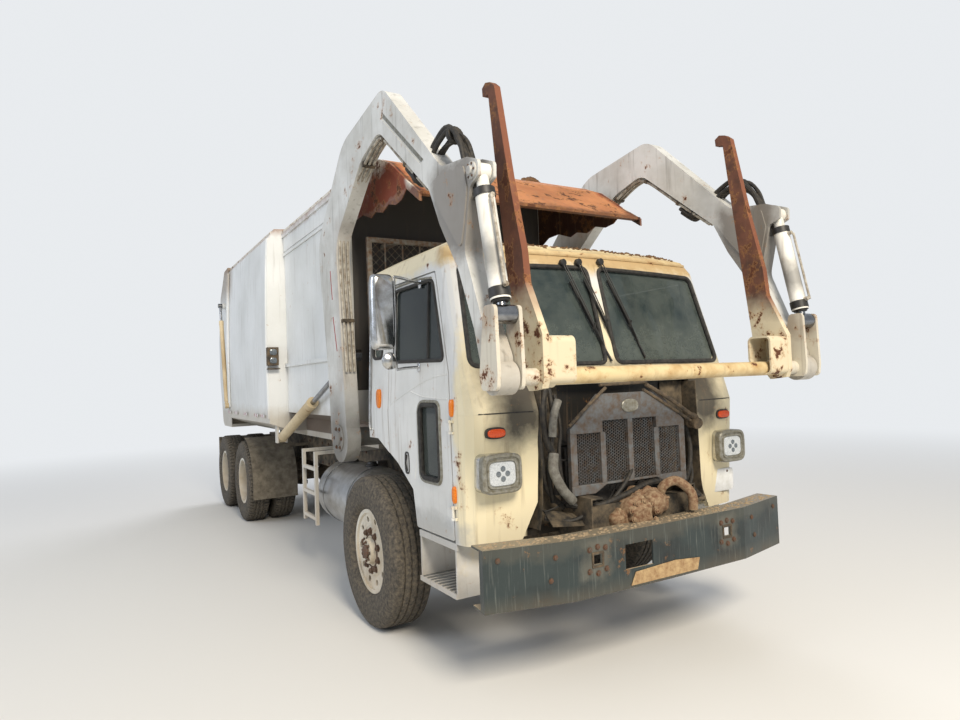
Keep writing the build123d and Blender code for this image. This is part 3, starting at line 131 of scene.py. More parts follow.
# Camera and stage
CAMERA_AT = (-2.93, -4.626 + SHIFT, 1.747)
CAMERA_YAW = math.radians(30.346)
CAMERA_PITCH = math.radians(1.744)
CAMERA_ROLL = math.radians(-2.16)
LENS, SENSOR = 24.88, 36.0          # millimetres
VIEW_REACH = (0.05, 200.0)
FLOOR_SIZE = 120.0
FLOOR_FADE = (5.0, 17.0)            # the floor turns into the backdrop between these distances
BACKDROP, BACKDROP_LIGHT = "EEF1F4", 0.95
SKY, SKY_LIGHT = "E4EAF2", 0.62
LAMPS = (  # name, place, aim, size, watts, colour
    ("key lamp", (-2.5, -13.5, 9.5), (0.0, -3.0, 1.6), 4.0, 2000.0, "FFF4E2"),
    ("side lamp", (-13.0, 0.0, 7.0), (0.0, 0.5, 1.6), 7.0, 520.0, "E4EEFF"),
    ("rear lamp", (8.0, 10.0, 9.0), (0.0, 1.5, 2.0), 7.0, 900.0, "F2F5FF"),
)


def make_camera():
    """Camera where the photographer stood, with the same turn, tilt and lens."""
    data = bpy.data.cameras.new("camera")
    data.sensor_width = SENSOR
    data.lens = LENS
    data.clip_start, data.clip_end = VIEW_REACH
    camera = bpy.data.objects.new("camera", data)
    bpy.context.scene.collection.objects.link(camera)
    level = math.cos(CAMERA_PITCH)
    ahead = Vector((math.sin(CAMERA_YAW) * level, math.cos(CAMERA_YAW) * level, math.sin(CAMERA_PITCH)))
    right = ahead.cross(Vector((0, 0, 1))).normalized()
    up = right.cross(ahead)
    turned = right * math.cos(CAMERA_ROLL) + up * math.sin(CAMERA_ROLL)
    top = -right * math.sin(CAMERA_ROLL) + up * math.cos(CAMERA_ROLL)
    matrix = Matrix((turned, top, -ahead)).transposed().to_4x4()
    matrix.translation = CAMERA_AT
    camera.matrix_world = matrix
    bpy.context.scene.camera = camera


def make_stage():
    """Pale floor, pale world and soft lamps, brightest towards the cab's front."""
    bpy.ops.mesh.primitive_plane_add(size=FLOOR_SIZE)
    floor = bpy.context.object
    floor.name = "floor"
    material, tree, shader = new_material("matt studio floor")
    shader.inputs["Base Color"].default_value = linear("D9D7D2")
    shader.inputs["Roughness"].default_value = 0.9
    place = add(tree, "TexCoord").outputs["Object"]
    reach = add(tree, "VectorMath", {"Vector": place}, operation="LENGTH").outputs["Value"]
    far = ramp(tree, reach, *FLOOR_FADE)
    far.interpolation_type = "SMOOTHSTEP"
    haze = add(tree, "Emission", {"Color": linear(BACKDROP), "Strength": BACKDROP_LIGHT})
    show(tree, blend(tree, far, shader, haze))
    floor.data.materials.append(material)
    world = bpy.data.worlds.new("studio")
    bpy.context.scene.world = world
    world.use_nodes = True
    tree = world.node_tree
    tree.nodes.clear()
    paths = add(tree, "LightPath")
    seen = combine(tree, "MAXIMUM", paths.outputs["Is Camera Ray"], paths.outputs["Is Transmission Ray"])
    sky = add(tree, "Background", {"Color": linear(SKY), "Strength": SKY_LIGHT})
    backdrop = add(tree, "Background", {"Color": linear(BACKDROP), "Strength": BACKDROP_LIGHT})
    add(tree, "OutputWorld", {"Surface": blend(tree, seen, sky, backdrop)})
    for name, place, aim, size, watts, colour in LAMPS:
        data = bpy.data.lights.new(name, "AREA")
        data.size = size
        data.energy = watts
        data.color = linear(colour)[:3]
        lamp = bpy.data.objects.new(name, data)
        lamp.location = place
        lamp.rotation_mode = "QUATERNION"
        lamp.rotation_quaternion = (Vector(aim) - Vector(place)).to_track_quat("-Z", "Y")
        bpy.context.scene.collection.objects.link(lamp)
    bpy.context.scene.view_settings.view_transform = "Standard"


# Finishes
ANY = (None, None, None)            # a zone's corner that leaves every side open
CRISP = 0.02                        # a zone with a softer edge than this has an uneven one
WOBBLE_MM, WOBBLE = 180, 0.22       # size of the waves in an uneven edge, and their reach in metres
STREAK_LENGTH = 22                  # a streak runs down this many times its width
SPOT_MM, SCALE_MM = 130, 12         # rust spots, and the grain in them
HALO, SCALE = "A8763F", "3A2216"    # stain round a rust spot, and the dark scale in it
DUST_FROM = 0.3                     # road dust is thickest below this height
FILM_MM, FILM = 420, "878D84"       # dust dried on glass
FILM_FOOT = (2.15, 1.8)             # it thickens between these heights


def wobbled_axes(tree, place):
    """Distances along each axis, as |X|, Y and Z, with an uneven edge, and again without it."""
    waves = noise(tree, place, WOBBLE_MM, 7.0, 0.65)
    offset = add(tree, "VectorMath", {"Scale": WOBBLE}, operation="SCALE")
    centred = add(tree, "VectorMath", operation="SUBTRACT")
    tree.links.new(waves.outputs["Color"], centred.inputs[0])
    centred.inputs[1].default_value = (0.5, 0.5, 0.5)
    tree.links.new(centred.outputs[0], offset.inputs[0])
    moved = add(tree, "VectorMath", operation="ADD")
    tree.links.new(place, moved.inputs[0])
    tree.links.new(offset.outputs[0], moved.inputs[1])
    pairs = []
    for vector in (moved, place):
        axes = add(tree, "SeparateXYZ", {"Vector": vector})
        across = add(tree, "Math", operation="ABSOLUTE")
        tree.links.new(axes.outputs["X"], across.inputs[0])
        pairs.append((across.outputs[0], axes.outputs["Y"], axes.outputs["Z"]))
    return pairs


def inside_box(tree, axes, low, high, soft, share):
    """Share of being inside a box measured from the front axle; None leaves a side open."""
    total = None
    for number, axis in enumerate(axes):
        shift = SHIFT if number == 1 else 0.0
        for edge, start, end in ((low[number], 0.0, 1.0), (high[number], 1.0, 0.0)):
            if edge is None:
                continue
            within = ramp(tree, axis, edge + shift - soft, edge + shift + soft, start, end)
            total = combine(tree, "MULTIPLY", total.outputs[0], within.outputs[0]) if total else within
    return ramp(tree, total, 0.0, 1.0, 0.0, share)


def painted_zones(tree, place, colour, zones):
    """Colours laid over a finish in boxes: hex code, low and high corners, softness and share."""
    if not zones:
        return colour
    uneven, exact = wobbled_axes(tree, place)
    for code, low, high, soft, share in zones:
        inside = inside_box(tree, exact if soft < CRISP else uneven, low, high, soft, share)
        colour = mix(tree, inside, colour, linear(code))
    return colour


def facing(tree, axis, start, end, share):
    """Share of a face's turn towards an axis of the object."""
    turned = add(tree, "SeparateXYZ", {"Vector": add(tree, "TexCoord").outputs["Normal"]}).outputs[axis]
    return ramp(tree, turned, start, end, 0.0, share)


def weathered_enamel(name, paint, aged, rust="6B3A1E", rust_share=0.3, streak_share=0.35, dust="B59D7C",
                     dust_top=0.9, roughness=0.55, mottle_mm=500.0, zones=(), turned=(), streak_code="7A6650",
                     streak_mm=40.0):
    """Alkyd enamel sprayed on sheet steel and left in the sun: chalky, streaked down, rusting in spots."""
    material, tree, shader = new_material(name)
    place = add(tree, "TexCoord").outputs["Object"]
    cloud = noise(tree, place, mottle_mm, 8.0, 0.62)
    colour = mix(tree, ramp(tree, cloud, 0.42, 0.68), linear(paint), linear(aged))
    across, down = per_metre(streak_mm), per_metre(streak_mm * STREAK_LENGTH)
    stretched = add(tree, "Mapping", {"Vector": place, "Scale": (across, across, down)})
    run = add(tree, "TexNoise", {"Vector": stretched, "Scale": 1.0, "Detail": 5.0, "Roughness": 0.6})
    streak = ramp(tree, run, 0.56, 0.76, 0.0, streak_share)
    # Faces turned towards an axis take another colour; the finishes use this for road dust, for painted shade
    # and for painted sunlight.
    for code, axis, start, end, share in turned:
        colour = mix(tree, facing(tree, axis, start, end, share), colour, linear(code))
    colour = painted_zones(tree, place, colour, zones)
    colour = mix(tree, streak, colour, linear(streak_code))
    # Rust breaks out in spots, with a brown halo round each
    spots = noise(tree, place, SPOT_MM, 12.0, 0.72)
    edge = 0.74 - 0.3 * rust_share
    halo = ramp(tree, spots, edge - 0.05, edge, 0.0, 0.45)
    core = ramp(tree, spots, edge, edge + 0.015)
    colour = mix(tree, halo, colour, linear(HALO))
    scale = mix(tree, noise(tree, place, SCALE_MM, 6.0), linear(rust), linear(SCALE))
    colour = mix(tree, core, colour, scale)
    # Road dust lies thickest near the ground
    height = add(tree, "SeparateXYZ", {"Vector": place}).outputs["Z"]
    low = ramp(tree, height, DUST_FROM, dust_top, 0.75, 0.0)
    dusty = combine(tree, "MULTIPLY", low.outputs[0], cloud.outputs[0])
    link(tree, mix(tree, dusty, colour, linear(dust)), shader, "Base Color")
    link(tree, ramp(tree, core, 0.0, 1.0, roughness, 0.92), shader, "Roughness")
    raised = ramp(tree, spots, edge - 0.02, edge + 0.06)
    link(tree, add(tree, "Bump", {"Height": raised, "Distance": 0.002, "Strength": 0.5}), shader, "Normal")
    return material


def plain_finish(name, colour, shade, roughness, metallic=0.0, grain_mm=20.0, bump_mm=0.3):
    """Simple finish with a fine mottle in its colour and surface."""
    material, tree, shader = new_material(name)
    grain = noise(tree, add(tree, "TexCoord").outputs["Object"], grain_mm, 8.0, 0.65)
    link(tree, mix(tree, ramp(tree, grain, 0.38, 0.66), linear(colour), linear(shade)), shader, "Base Color")
    shader.inputs["Roughness"].default_value = roughness
    shader.inputs["Metallic"].default_value = metallic
    bump = add(tree, "Bump", {"Height": grain, "Distance": bump_mm / 1000, "Strength": 0.6})
    link(tree, bump, shader, "Normal")
    return material


def dirty_glass(name, tint, dust_share):
    """Laminated glass with dust dried on it, thickest towards its foot."""
    material, tree, shader = new_material(name)
    place = add(tree, "TexCoord").outputs["Object"]
    film = noise(tree, place, FILM_MM, 10.0, 0.78)
    height = add(tree, "SeparateXYZ", {"Vector": place}).outputs["Z"]
    foot = ramp(tree, height, *FILM_FOOT, 0.0, 0.16)
    thick = combine(tree, "ADD", film.outputs[0], foot.outputs[0])
    for socket, value in (("Base Color", linear(tint)), ("Roughness", 0.06), ("IOR", 1.5), ("Alpha", 0.72)):
        shader.inputs[socket].default_value = value
    dust = add(tree, "BsdfDiffuse", {"Color": linear(FILM), "Roughness": 0.8})
    show(tree, blend(tree, ramp(tree, thick, 0.28, 0.88, 0.0, dust_share), shader, dust))
    return material


PLAIN = {  # material, colour, shade, roughness, metallic, grain and bump in millimetres
    "frame": ("black chassis enamel under dust", "25231F", "6B5E4B", 0.8, 0.0, 90),
    "rod": ("hard chrome on ground steel", "9B9C9E", "77787A", 0.22, 1.0, 60, 0.02),
    "tyre": ("tyre rubber with sandy dust", "393632", "675E50", 0.88, 0.0, 24, 0.6),
    "iron": ("cast iron under road dirt", "39332C", "6A5A45", 0.85, 0.0, 60, 1.0),
    "radiator": ("finned radiator core", "3A3B3D", "56504A", 0.7, 0.4, 8, 0.5),
    "aluminium": ("spun aluminium", "B9BABC", "9C9C9A", 0.35, 1.0, 120, 0.05),
    "grille": ("grey cast grille", "66696B", "5A4A3C", 0.6, 0.2, 40),
    "chrome": ("pitted chrome plate", "D2D3D4", "A8A6A0", 0.2, 1.0, 70, 0.03),
    "seat": ("woven seat cloth", "22242A", "34343A", 0.95, 0.0, 6),
    "plastic": ("moulded dash plastic", "2B2B2B", "403B33", 0.6, 0.0, 30),
    "mirror_case": ("grey mirror case", "8A8D90", "6F716F", 0.55, 0.0, 60),
    "rubber": ("reinforced rubber sheet under dust", "776F61", "544D42", 0.9, 0.0, 80),
    "nuts": ("bare steel nuts, rusting", "5E564D", "6B4630", 0.7, 0.4, 14, 0.4),
    "seal": ("weathered window rubber", "1A1A1A", "3B3834", 0.75, 0.0, 30),
    "pipe": ("dirty white oil-pipe enamel", "B9B3A5", "6E604E", 0.6, 0.0, 45),
    "hose": ("hydraulic hose rubber", "151515", "3A342B", 0.7, 0.0, 25),
    "mesh": ("galvanised wire", "B0AA9C", "8E6648", 0.6, 0.3, 50),
    "amber": ("orange-red lamp lens", "E5561F", "C24416", 0.25, 0.0, 9, 0.2),
    "side_lens": ("orange side-lamp lens", "E8851E", "C76412", 0.25, 0.0, 9, 0.2),
    "red_lens": ("red lamp lens", "9E1B14", "7A130F", 0.25, 0.0, 9, 0.2),
    "lens": ("moulded headlamp lens", "C9CDD0", "9EA4A8", 0.12, 0.0, 7, 0.4),
    "reflector": ("dark lamp reflector", "83898D", "5F666A", 0.2, 0.6, 10, 0.1),
    "bezel": ("dusty grey lamp bezel", "8F8E86", "6B6553", 0.45, 0.3, 25),
    "black": ("black wiper enamel", "181818", "2E2B27", 0.5, 0.0, 30),
    "blank_plate": ("blank white plate", "E2E3E3", "CFCFCB", 0.4, 0.0, 60, 0.1),
    "sand": ("road sand", "A8957A", "8A775C", 0.95, 0.0, 12, 1.0),
    "debris": ("dry leaves and dirt", "4A3524", "7D5C3A", 0.95, 0.0, 12, 1.0),
    "casting": ("rusted casting", "6B4C36", "9A8569", 0.9, 0.0, 25, 1.2),
    "duct": ("grey moulded duct", "77756E", "4C4840", 0.6, 0.0, 40),
    "patch": ("tan patch plate", "B79C72", "8A6A48", 0.7, 0.0, 45, 0.5),
    "mirror_glass": ("silvered mirror glass", "C8CDD2", "BFC4C8", 0.05, 1.0, 200, 0.0),
}


def make_materials():
    """One material for each finish, by its plain name."""
    return {
        **{key: plain_finish(*row) for key, row in PLAIN.items()},
        "cab": weathered_enamel(
            "chalked white cab enamel, yellowed in front", "D6D6D3", "C6C6C2",
            rust_share=0.3, streak_share=0.45,
            zones=(("DED0AA", (None, None, 2.47), ANY, 0.03, 0.8),
                   ("DFD2AF", ANY, (None, -1.215, None), 0.03, 0.92),
                   ("DCCB9C", (None, None, 2.475), (None, -0.98, None), 0.03, 0.9),
                   ("E3D7AE", (0.7, None, 1.0), (None, -1.33, 1.45), 0.12, 0.55),
                   # Brown along the roof's front edge: dirt and painted shade.
                   ("9A7446", (None, None, 2.47), (None, -0.95, 2.6), 0.05, 0.65),
                   ("3A332A", (None, -1.5, 1.66), (0.82, -1.2, 1.83), 0.06, 0.85),
                   ("241F1A", (0.6, None, 1.38), (0.92, -1.2, 1.88), 0.08, 0.92),
                   ("4A4236", (0.6, None, 1.64), (1.04, -1.2, 1.88), 0.08, 0.6),
                   ("9C9C98", (1.09, None, None), (None, -0.2, 0.93), 0.03, 0.55),
                   ("14120F", (None, -1.345, None), (0.69, -1.0, 1.74), 0.012, 1.0))),
        "body": weathered_enamel(
            "dull white body enamel with painted shade in the hopper", "DFE0DE", "C9CAC6", rust_share=0.18, streak_share=0.35, mottle_mm=1500,
            zones=(("A99A84", (None, None, 3.56), ANY, 0.05, 0.7),
                   ("8A5B38", (0.95, None, 3.49), ANY, 0.05, 0.7),
                   ("5F574B", (None, 0.7, None), (None, 1.25, 2.25), 0.2, 0.55),
                   ("A99C84", ANY, (None, None, 1.48), 0.08, 0.55),
                   ("7E6A50", (None, 5.25, 3.1), ANY, 0.15, 0.6),
                   # Rust brown inside the hopper, also painted shade under the canopy.
                   ("4B3626", (None, 0.805, 1.25), (0.9935, 3.03, 3.515), 0.002, 0.85),
                   # The hopper's front sheet near black: painted shadow.
                   ("2B241E", (None, None, 1.7), (0.985, 0.8049, 3.5), 0.0002, 0.92))),
        "canopy": weathered_enamel(
            "rusted canopy sheet with painted shade beneath", "B97C50", "935C39", rust="6B3F26",
            rust_share=0.55, streak_share=0.6, roughness=0.85,
            zones=(("5B3A26", ANY, (None, -0.5, 3.075), 0.03, 0.85),
                   ("D3CFC4", (0.995, None, None), ANY, 0.002, 0.95),
                   ("7A3214", (0.95, -0.42, 3.09), (None, 0.6, 3.38), 0.035, 0.98),
                   ("5E2C14", (0.95, None, None), (None, None, 3.11), 0.03, 0.9),
                   ("2A1C14", (0.975, None, None), (0.994, None, None), 0.002, 0.85)),
            # Faces turned down are near black: painted shade under the canopy.
            turned=(("171412", "Z", -0.35, -0.75, 0.95),)),
        "arm": weathered_enamel(
            "scuffed off-white arm enamel with painted shade at its foot", "CFCFCB", "AEACA4",
            rust_share=0.34, streak_share=0.7, streak_code="6A655C",
            # Darker at the arm's foot: sooty dirt and painted shade.
            zones=(("4A443B", (None, 0.25, None), (None, 0.85, 1.62), 0.2, 0.8),
                   ("7A6148", (None, 0.25, 1.7), (None, 0.47, 3.05), 0.06, 0.25),
                   ("6E675F", (None, -1.76, 2.4), (None, -1.28, 2.95), 0.06, 0.8),
                   ("8F7F66", (None, -1.98, 1.6), (None, -1.72, 1.98), 0.04, 0.45),
                   ("D8C48C", (None, None, 1.6), (0.95, -1.78, 1.86), 0.02, 0.85))),
        "lever": weathered_enamel(
            "cream tube enamel, rusted", "D2BE92", "B08F5C", rust_share=0.47, streak_share=0.4, mottle_mm=160,
            zones=(("CBC8BD", (0.985, None, None), ANY, 0.01, 0.8),
                   ("6A4A34", (0.985, -1.93, 1.97), (None, None, 2.12), 0.04, 0.4))),
        "fork": weathered_enamel(
            "rusted fork plate with painted sunlight in front", "6A4230", "4A2F24", rust_share=0.56, streak_share=0.2, roughness=0.85,
            mottle_mm=160, zones=(("D8CCAE", (None, None, 1.55), (None, None, 2.15), 0.1, 0.9),),
            # Faces turned to the front are a lighter orange: painted sunlight on the rusty plate.
            turned=(("7C4A33", "Y", -0.45, -0.85, 0.75),)),
        "bumper": weathered_enamel(
            "dark teal bumper enamel", "2A3434", "171B1B", rust_share=0.25, streak_share=0.7, roughness=0.45,
            streak_code="6C716C", streak_mm=11, dust_top=0.62, mottle_mm=260,
            zones=(("4A4A42", (None, None, 0.79), ANY, 0.03, 0.6),
                   ("6A675C", (0.45, None, 0.62), (0.62, None, 0.84), 0.03, 0.55)),
            turned=(("B7A488", "Z", 0.45, 0.85, 0.92),)),
        "barrel": weathered_enamel(
            "tan cylinder enamel", "D2BF9A", "B29A72", rust_share=0.25, streak_share=0.3),
        "fork_cylinder": weathered_enamel(
            "white cylinder enamel, scuffed black", "E6E4DD", "D3CFC4", rust_share=0.2, streak_share=0.5,
            zones=(("23211F", (None, None, 2.28), (None, None, 2.46), 0.06, 0.6),)),
        "wheel": weathered_enamel("off-white wheel enamel", "D8D3C6", "B8AC94", rust_share=0.3, dust_top=0.9),
        "glass": dirty_glass("laminated cab glass", "12262C", 0.55),
        "door_glass": dirty_glass("laminated door glass", "0E1A20", 0.22),
    }


NODE_FINISH = {  # finish: the nodes that have it, or what their names begin with on both sides
    "frame": "frame_rails suspension crossmembers subframe",
    "iron": "front_axle tandem_axles engine knuckle_",
    "body": "cylinder_lugs hydraulic_tank hopper body_shell ladder tailgate",
    "cab": "cab_shell cab_panels cab_floor cab_steps door_",
    "arm": "torque_tube lift_arms",
    "barrel": "lift_barrels gate_barrels",
    "rod": "lift_rods fork_rods gate_rods",
    "fork": "forks packer_blade",
    "plastic": "dash steering_wheel",
    "wheel": "front_rim_ axle2_rim_ axle3_rim_",
    "tyre": "front_tyre_ axle2_tyres_ axle3_tyres_",
    "fork_cylinder": "fork_barrels", "lever": "fork_shaft", "canopy": "canopy", "mesh": "mesh_screen",
    "rubber": "fenders", "glass": "cab_glass", "door_glass": "door_glass_", "mirror_case": "mirror_",
    "radiator": "radiator", "grille": "grille", "bumper": "bumper", "chrome": "lamps",
    "aluminium": "fuel_tank", "seat": "seats",
}
FINISH_OF = {node: finish for finish, nodes in NODE_FINISH.items() for node in nodes.split()}
NODE_SMOOTH = math.radians(35)      # angles below which an edge is shaded smooth, or kept unrounded
PIECE_SMOOTH = math.radians(38)
BEVEL_FROM = math.radians(40)


def paint_nodes():
    """Gives each CAD node its finish, and shades its rounded faces smooth."""
    for name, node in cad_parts.items():
        key = name if name in FINISH_OF else name.removesuffix("left").removesuffix("right")
        for slot in node.material_slots:
            slot.material = finishes[FINISH_OF[key]]
        for face in node.data.polygons:
            face.use_smooth = True
        with bpy.context.temp_override(object=node, active_object=node, selected_editable_objects=[node]):
            bpy.ops.object.shade_smooth_by_angle(angle=NODE_SMOOTH)


finishes = make_materials()


# Mesh helpers
SIDES = (("left", 1.0), ("right", -1.0))
FRONT = ((1, 0, 0), (0, 0, 1))      # right and up of a face that looks forward
REAR = ((-1, 0, 0), (0, 0, 1))
TOP = ((1, 0, 0), (0, 1, 0))


def outer(side):
    """Right and up of a face that looks out of a side."""
    return (0, side, 0), (0, 0, 1)


def both_sides(make):
    """Lets a maker of pieces run for the left side, then for the right."""
    def run():
        for word, side in SIDES:
            make(word, side)
    return run


def at(x, y, z):
    """Point of the row frame, from one measured from the front axle."""
    return Vector((x, y + SHIFT, z))


def circle(count, start=0.0):
    """Cosine and sine of evenly spaced turns."""
    for number in range(count):
        turn = 2 * math.pi * (number + start) / count
        yield math.cos(turn), math.sin(turn)


def smooth_line(points, steps, closed):
    """Points of a smooth line through the given ones."""
    count = len(points)
    line = []
    for number in range(count if closed else count - 1):
        if closed:
            a, b, c, d = (points[(number + k) % count] for k in (-1, 0, 1, 2))
        else:
            a, b, c, d = (points[min(max(number + k, 0), count - 1)] for k in (-1, 0, 1, 2))
        for t in (step / steps for step in range(steps)):
            line.append(0.5 * (2 * b + (c - a) * t + (2 * a - 5 * b + 4 * c - d) * t ** 2
                               + (3 * b - a - 3 * c + d) * t ** 3))
    return line if closed else line + [points[-1]]


def tube(shape, points, radius, sides=8, steps=6, closed=False):
    """Round bar, pipe or hose along a smooth line."""
    line = smooth_line([Vector(point) for point in points], steps, closed)
    count = len(line)
    rings = []
    across = None
    for number, here in enumerate(line):
        before = line[number - 1] if closed or number else here
        after = line[(number + 1) % count] if closed or number < count - 1 else here
        along = (after - before).normalized()
        across = along.orthogonal() if across is None else across
        across = (across - along * across.dot(along)).normalized()
        third = along.cross(across)
        rings.append([shape.verts.new(here + radius * (across * c + third * s)) for c, s in circle(sides)])
    for first, second in zip(rings, rings[1:] + rings[:1] if closed else rings[1:]):
        for k in range(sides):
            after = (k + 1) % sides
            shape.faces.new((first[k], first[after], second[after], second[k]))
    if not closed:
        shape.faces.new(rings[0])
        shape.faces.new(rings[-1])


def pipe(shape, points, radius, sides=8, steps=5, side=1):
    """Tube through points measured from the front axle, mirrored for the right side."""
    tube(shape, [at(side * x, y, z) for x, y, z in points], radius, sides, steps)


def lathe(shape, centre, axis, profile, steps=32):
    """Turned form: for each step, the profile gives distance along the axis and radius."""
    axis = Vector(axis).normalized()
    across = axis.orthogonal().normalized()
    third = axis.cross(across)
    rings = []
    for step, (c, s) in enumerate(circle(steps)):
        out = across * c + third * s
        section = profile(step) if callable(profile) else profile
        rings.append([shape.verts.new(centre + axis * along + out * max(radius, 1e-6))
                      for along, radius in section])
    for first, second in zip(rings, rings[1:] + rings[:1]):
        for low in range(len(first) - 1):
            shape.faces.new((first[low], first[low + 1], second[low + 1], second[low]))


def prism(shape, outline, depth):
    """Plate with the given outline, as thick as a vector."""
    near = [shape.verts.new(point) for point in outline]
    far = [shape.verts.new(point + Vector(depth)) for point in outline]
    shape.faces.new(near)
    shape.faces.new(far[::-1])
    for number in range(len(near)):
        shape.faces.new((near[number], near[number - 1], far[number - 1], far[number]))


def slab(shape, low, high):
    """Block between two corners."""
    (x0, y0, z0), (x1, y1, z1) = low, high
    prism(shape, [Vector((x0, y0, z0)), Vector((x1, y0, z0)), Vector((x1, y1, z0)), Vector((x0, y1, z0))],
          (0, 0, z1 - z0))


HEX_CORNER = 0.577                      # how far a hexagon's corner lies out, as a share of its width


def hex_head(shape, place, axis, across, height):
    """Nut or bolt head on a washer, standing on a surface."""
    washer, low = across * 0.72, height * 0.2
    lathe(shape, place, axis, ((0, 0), (0, washer), (low, washer), (low, 0)), 20)
    corner, stud = across * HEX_CORNER, across * 0.26
    lathe(shape, place, axis, ((0, corner), (height * 0.85, corner), (height, across * 0.48), (height, stud),
                               (height * 1.25, stud), (height * 1.3, 0)), 6)


def piece(name, shape, body, finish, bevel=0.0, replaces=()):
    """A finished mesh as a piece of the scene, riding on a body."""
    bmesh.ops.remove_doubles(shape, verts=shape.verts, dist=1e-5)
    bmesh.ops.recalc_face_normals(shape, faces=shape.faces)
    mesh = bpy.data.meshes.new(name)
    shape.to_mesh(mesh)
    shape.free()
    mesh.polygons.foreach_set("use_smooth", [True] * len(mesh.polygons))
    mesh.set_sharp_from_angle(angle=PIECE_SMOOTH)
    mesh.materials.append(finishes[finish])
    item = bpy.data.objects.new(name, mesh)
    bpy.context.scene.collection.objects.link(item)
    if bevel:
        edge = item.modifiers.new("soft edges", "BEVEL")
        edge.width = bevel
        edge.segments = 2
        edge.limit_method = "ANGLE"
        edge.angle_limit = BEVEL_FROM
    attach(item, body)
    if replaces:
        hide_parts(*replaces)
    return item


def skin_tree(*nodes):
    """Surface of some CAD nodes, for laying pieces on it."""
    shape = bmesh.new()
    for node in nodes:
        shape.from_mesh(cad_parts[node].data)
    tree = BVHTree.FromBMesh(shape)
    shape.free()
    return tree


def on_skin(tree, start, direction):
    """Where a straight line from a point first meets a surface."""
    place = tree.ray_cast(start, Vector(direction).normalized())[0]
    if place is None:
        raise ValueError(f"no surface from {tuple(start)} along {direction}")
    return place


def on_side(tree, side, y, z, lift=0.0, start=1.6):
    """Point on a side of the truck, or lifted off it."""
    return on_skin(tree, at(side * start, y, z), (-side, 0, 0)) + Vector((side * lift, 0, 0))


def on_front(tree, x, z, start=-2.0):
    """Point on the truck's front."""
    return on_skin(tree, at(x, start, z), (0, 1, 0))


def rounded(corners, radius, spacing=0.05):
    """Outline in a plane with rounded corners, as points no farther apart than a spacing."""
    corners = [Vector(corner) for corner in corners]
    line = []
    for before, here, after in zip(corners[-1:] + corners, corners, corners[1:] + corners[:1]):
        start = here + (before - here).normalized() * radius
        end = here + (after - here).normalized() * radius
        for t in (step / 6 for step in range(7)):
            line.append(start * (1 - t) ** 2 + here * (2 * t * (1 - t)) + end * t ** 2)
    dense = []
    for first, second in zip(line, line[1:] + line[:1]):
        count = max(1, math.ceil((second - first).length / spacing))
        dense.extend(first.lerp(second, step / count) for step in range(count))
    return dense


# Wheels
FRONT_TYRE = (0.538, 0.156)             # radius, half width
REAR_TYRE = (0.527, 0.1395)
FRONT_WHEEL_X, DUAL_X, DUAL_STEP = 1.095, 0.93, 0.1665
REAR_AXLES = ((2, 4.69), (3, 6.04))
TREAD_STEPS = 132
WHEEL_NUTS, HUB_BOLTS = 10, 8
FRONT_NUT_RING, REAR_NUT_RING, HUB_BOLT_RING = 0.143, 0.15, 0.066
FRONT_DISC, FRONT_HUB = 0.102, 0.142    # how far out of the wheel's middle its disc and hub end
REAR_DISC, REAR_HUB = 0.016, 0.2


def tyre_section(radius, half, grooves, shift, shoulder):
    """Whole section of a tyre: bead, bulging side, shoulder, and tread with its grooves."""
    side = [(0.1042, 0.2868), (0.1042, 0.301), (0.119, 0.3062), (half - 0.021, 0.32), (half - 0.012, 0.338),
            (half - 0.0105, 0.3385), (half - 0.0075, 0.346), (half - 0.0085, 0.3475), (half - 0.002, 0.378),
            (half, 0.402), (half - 0.0015, 0.432), (half - 0.006, radius - 0.072),
            (half - 0.0045, radius - 0.07), (half - 0.0065, radius - 0.052), (half - 0.0115, radius - 0.046),
            (half - 0.018, radius - 0.026),
            (half - 0.03, radius - 0.009 - shoulder), (half - 0.046, radius - 0.002 - shoulder)]
    tread = []
    for middle in grooves:
        for across, depth in ((0.0075, 0.0), (0.0045, 0.012), (-0.0045, 0.012), (-0.0075, 0.0)):
            tread.append((middle + across + shift, radius - depth))
    return side + tread + [(-x, r) for x, r in reversed(side)]


def add_tyre(shape, centre, size, rear):
    """Road tyre: zigzag ribs all over in front, and lugs across the shoulders at the rear."""
    radius, half = size
    if rear:
        grooves, shoulder, amount = (0.045, 0.0, -0.045), 0.014, 0.005
    else:
        grooves, shoulder, amount = (0.074, 0.025, -0.025, -0.074), 0.0, 0.003

    def section(step):
        return tyre_section(radius, half, grooves, amount * (1 if step % 2 else -1), shoulder)

    lathe(shape, centre, (1, 0, 0), section, TREAD_STEPS)
    if not rear:
        return
    lugs = TREAD_STEPS // 2
    for number in range(lugs):
        for side in (-1, 1):
            start = 2 * math.pi * (number + 0.25 * side) / lugs
            rings = []
            for turn in (start + 2 * math.pi * share / lugs for share in (0.18, 0.82)):
                out = Vector((0, math.cos(turn), math.sin(turn)))
                rings.append([shape.verts.new(centre + Vector((side * x, 0, 0)) + out * r) for x, r in
                              ((0.062, radius - 0.018), (0.062, radius), (half - 0.038, radius - 0.0015),
                               (half - 0.0195, radius - 0.016), (half - 0.012, radius - 0.045),
                               (half - 0.024, radius - 0.04))])
            shape.faces.new(rings[0])
            shape.faces.new(rings[1])
            for k in range(6):
                shape.faces.new((rings[0][k], rings[0][k - 1], rings[1][k - 1], rings[1][k]))


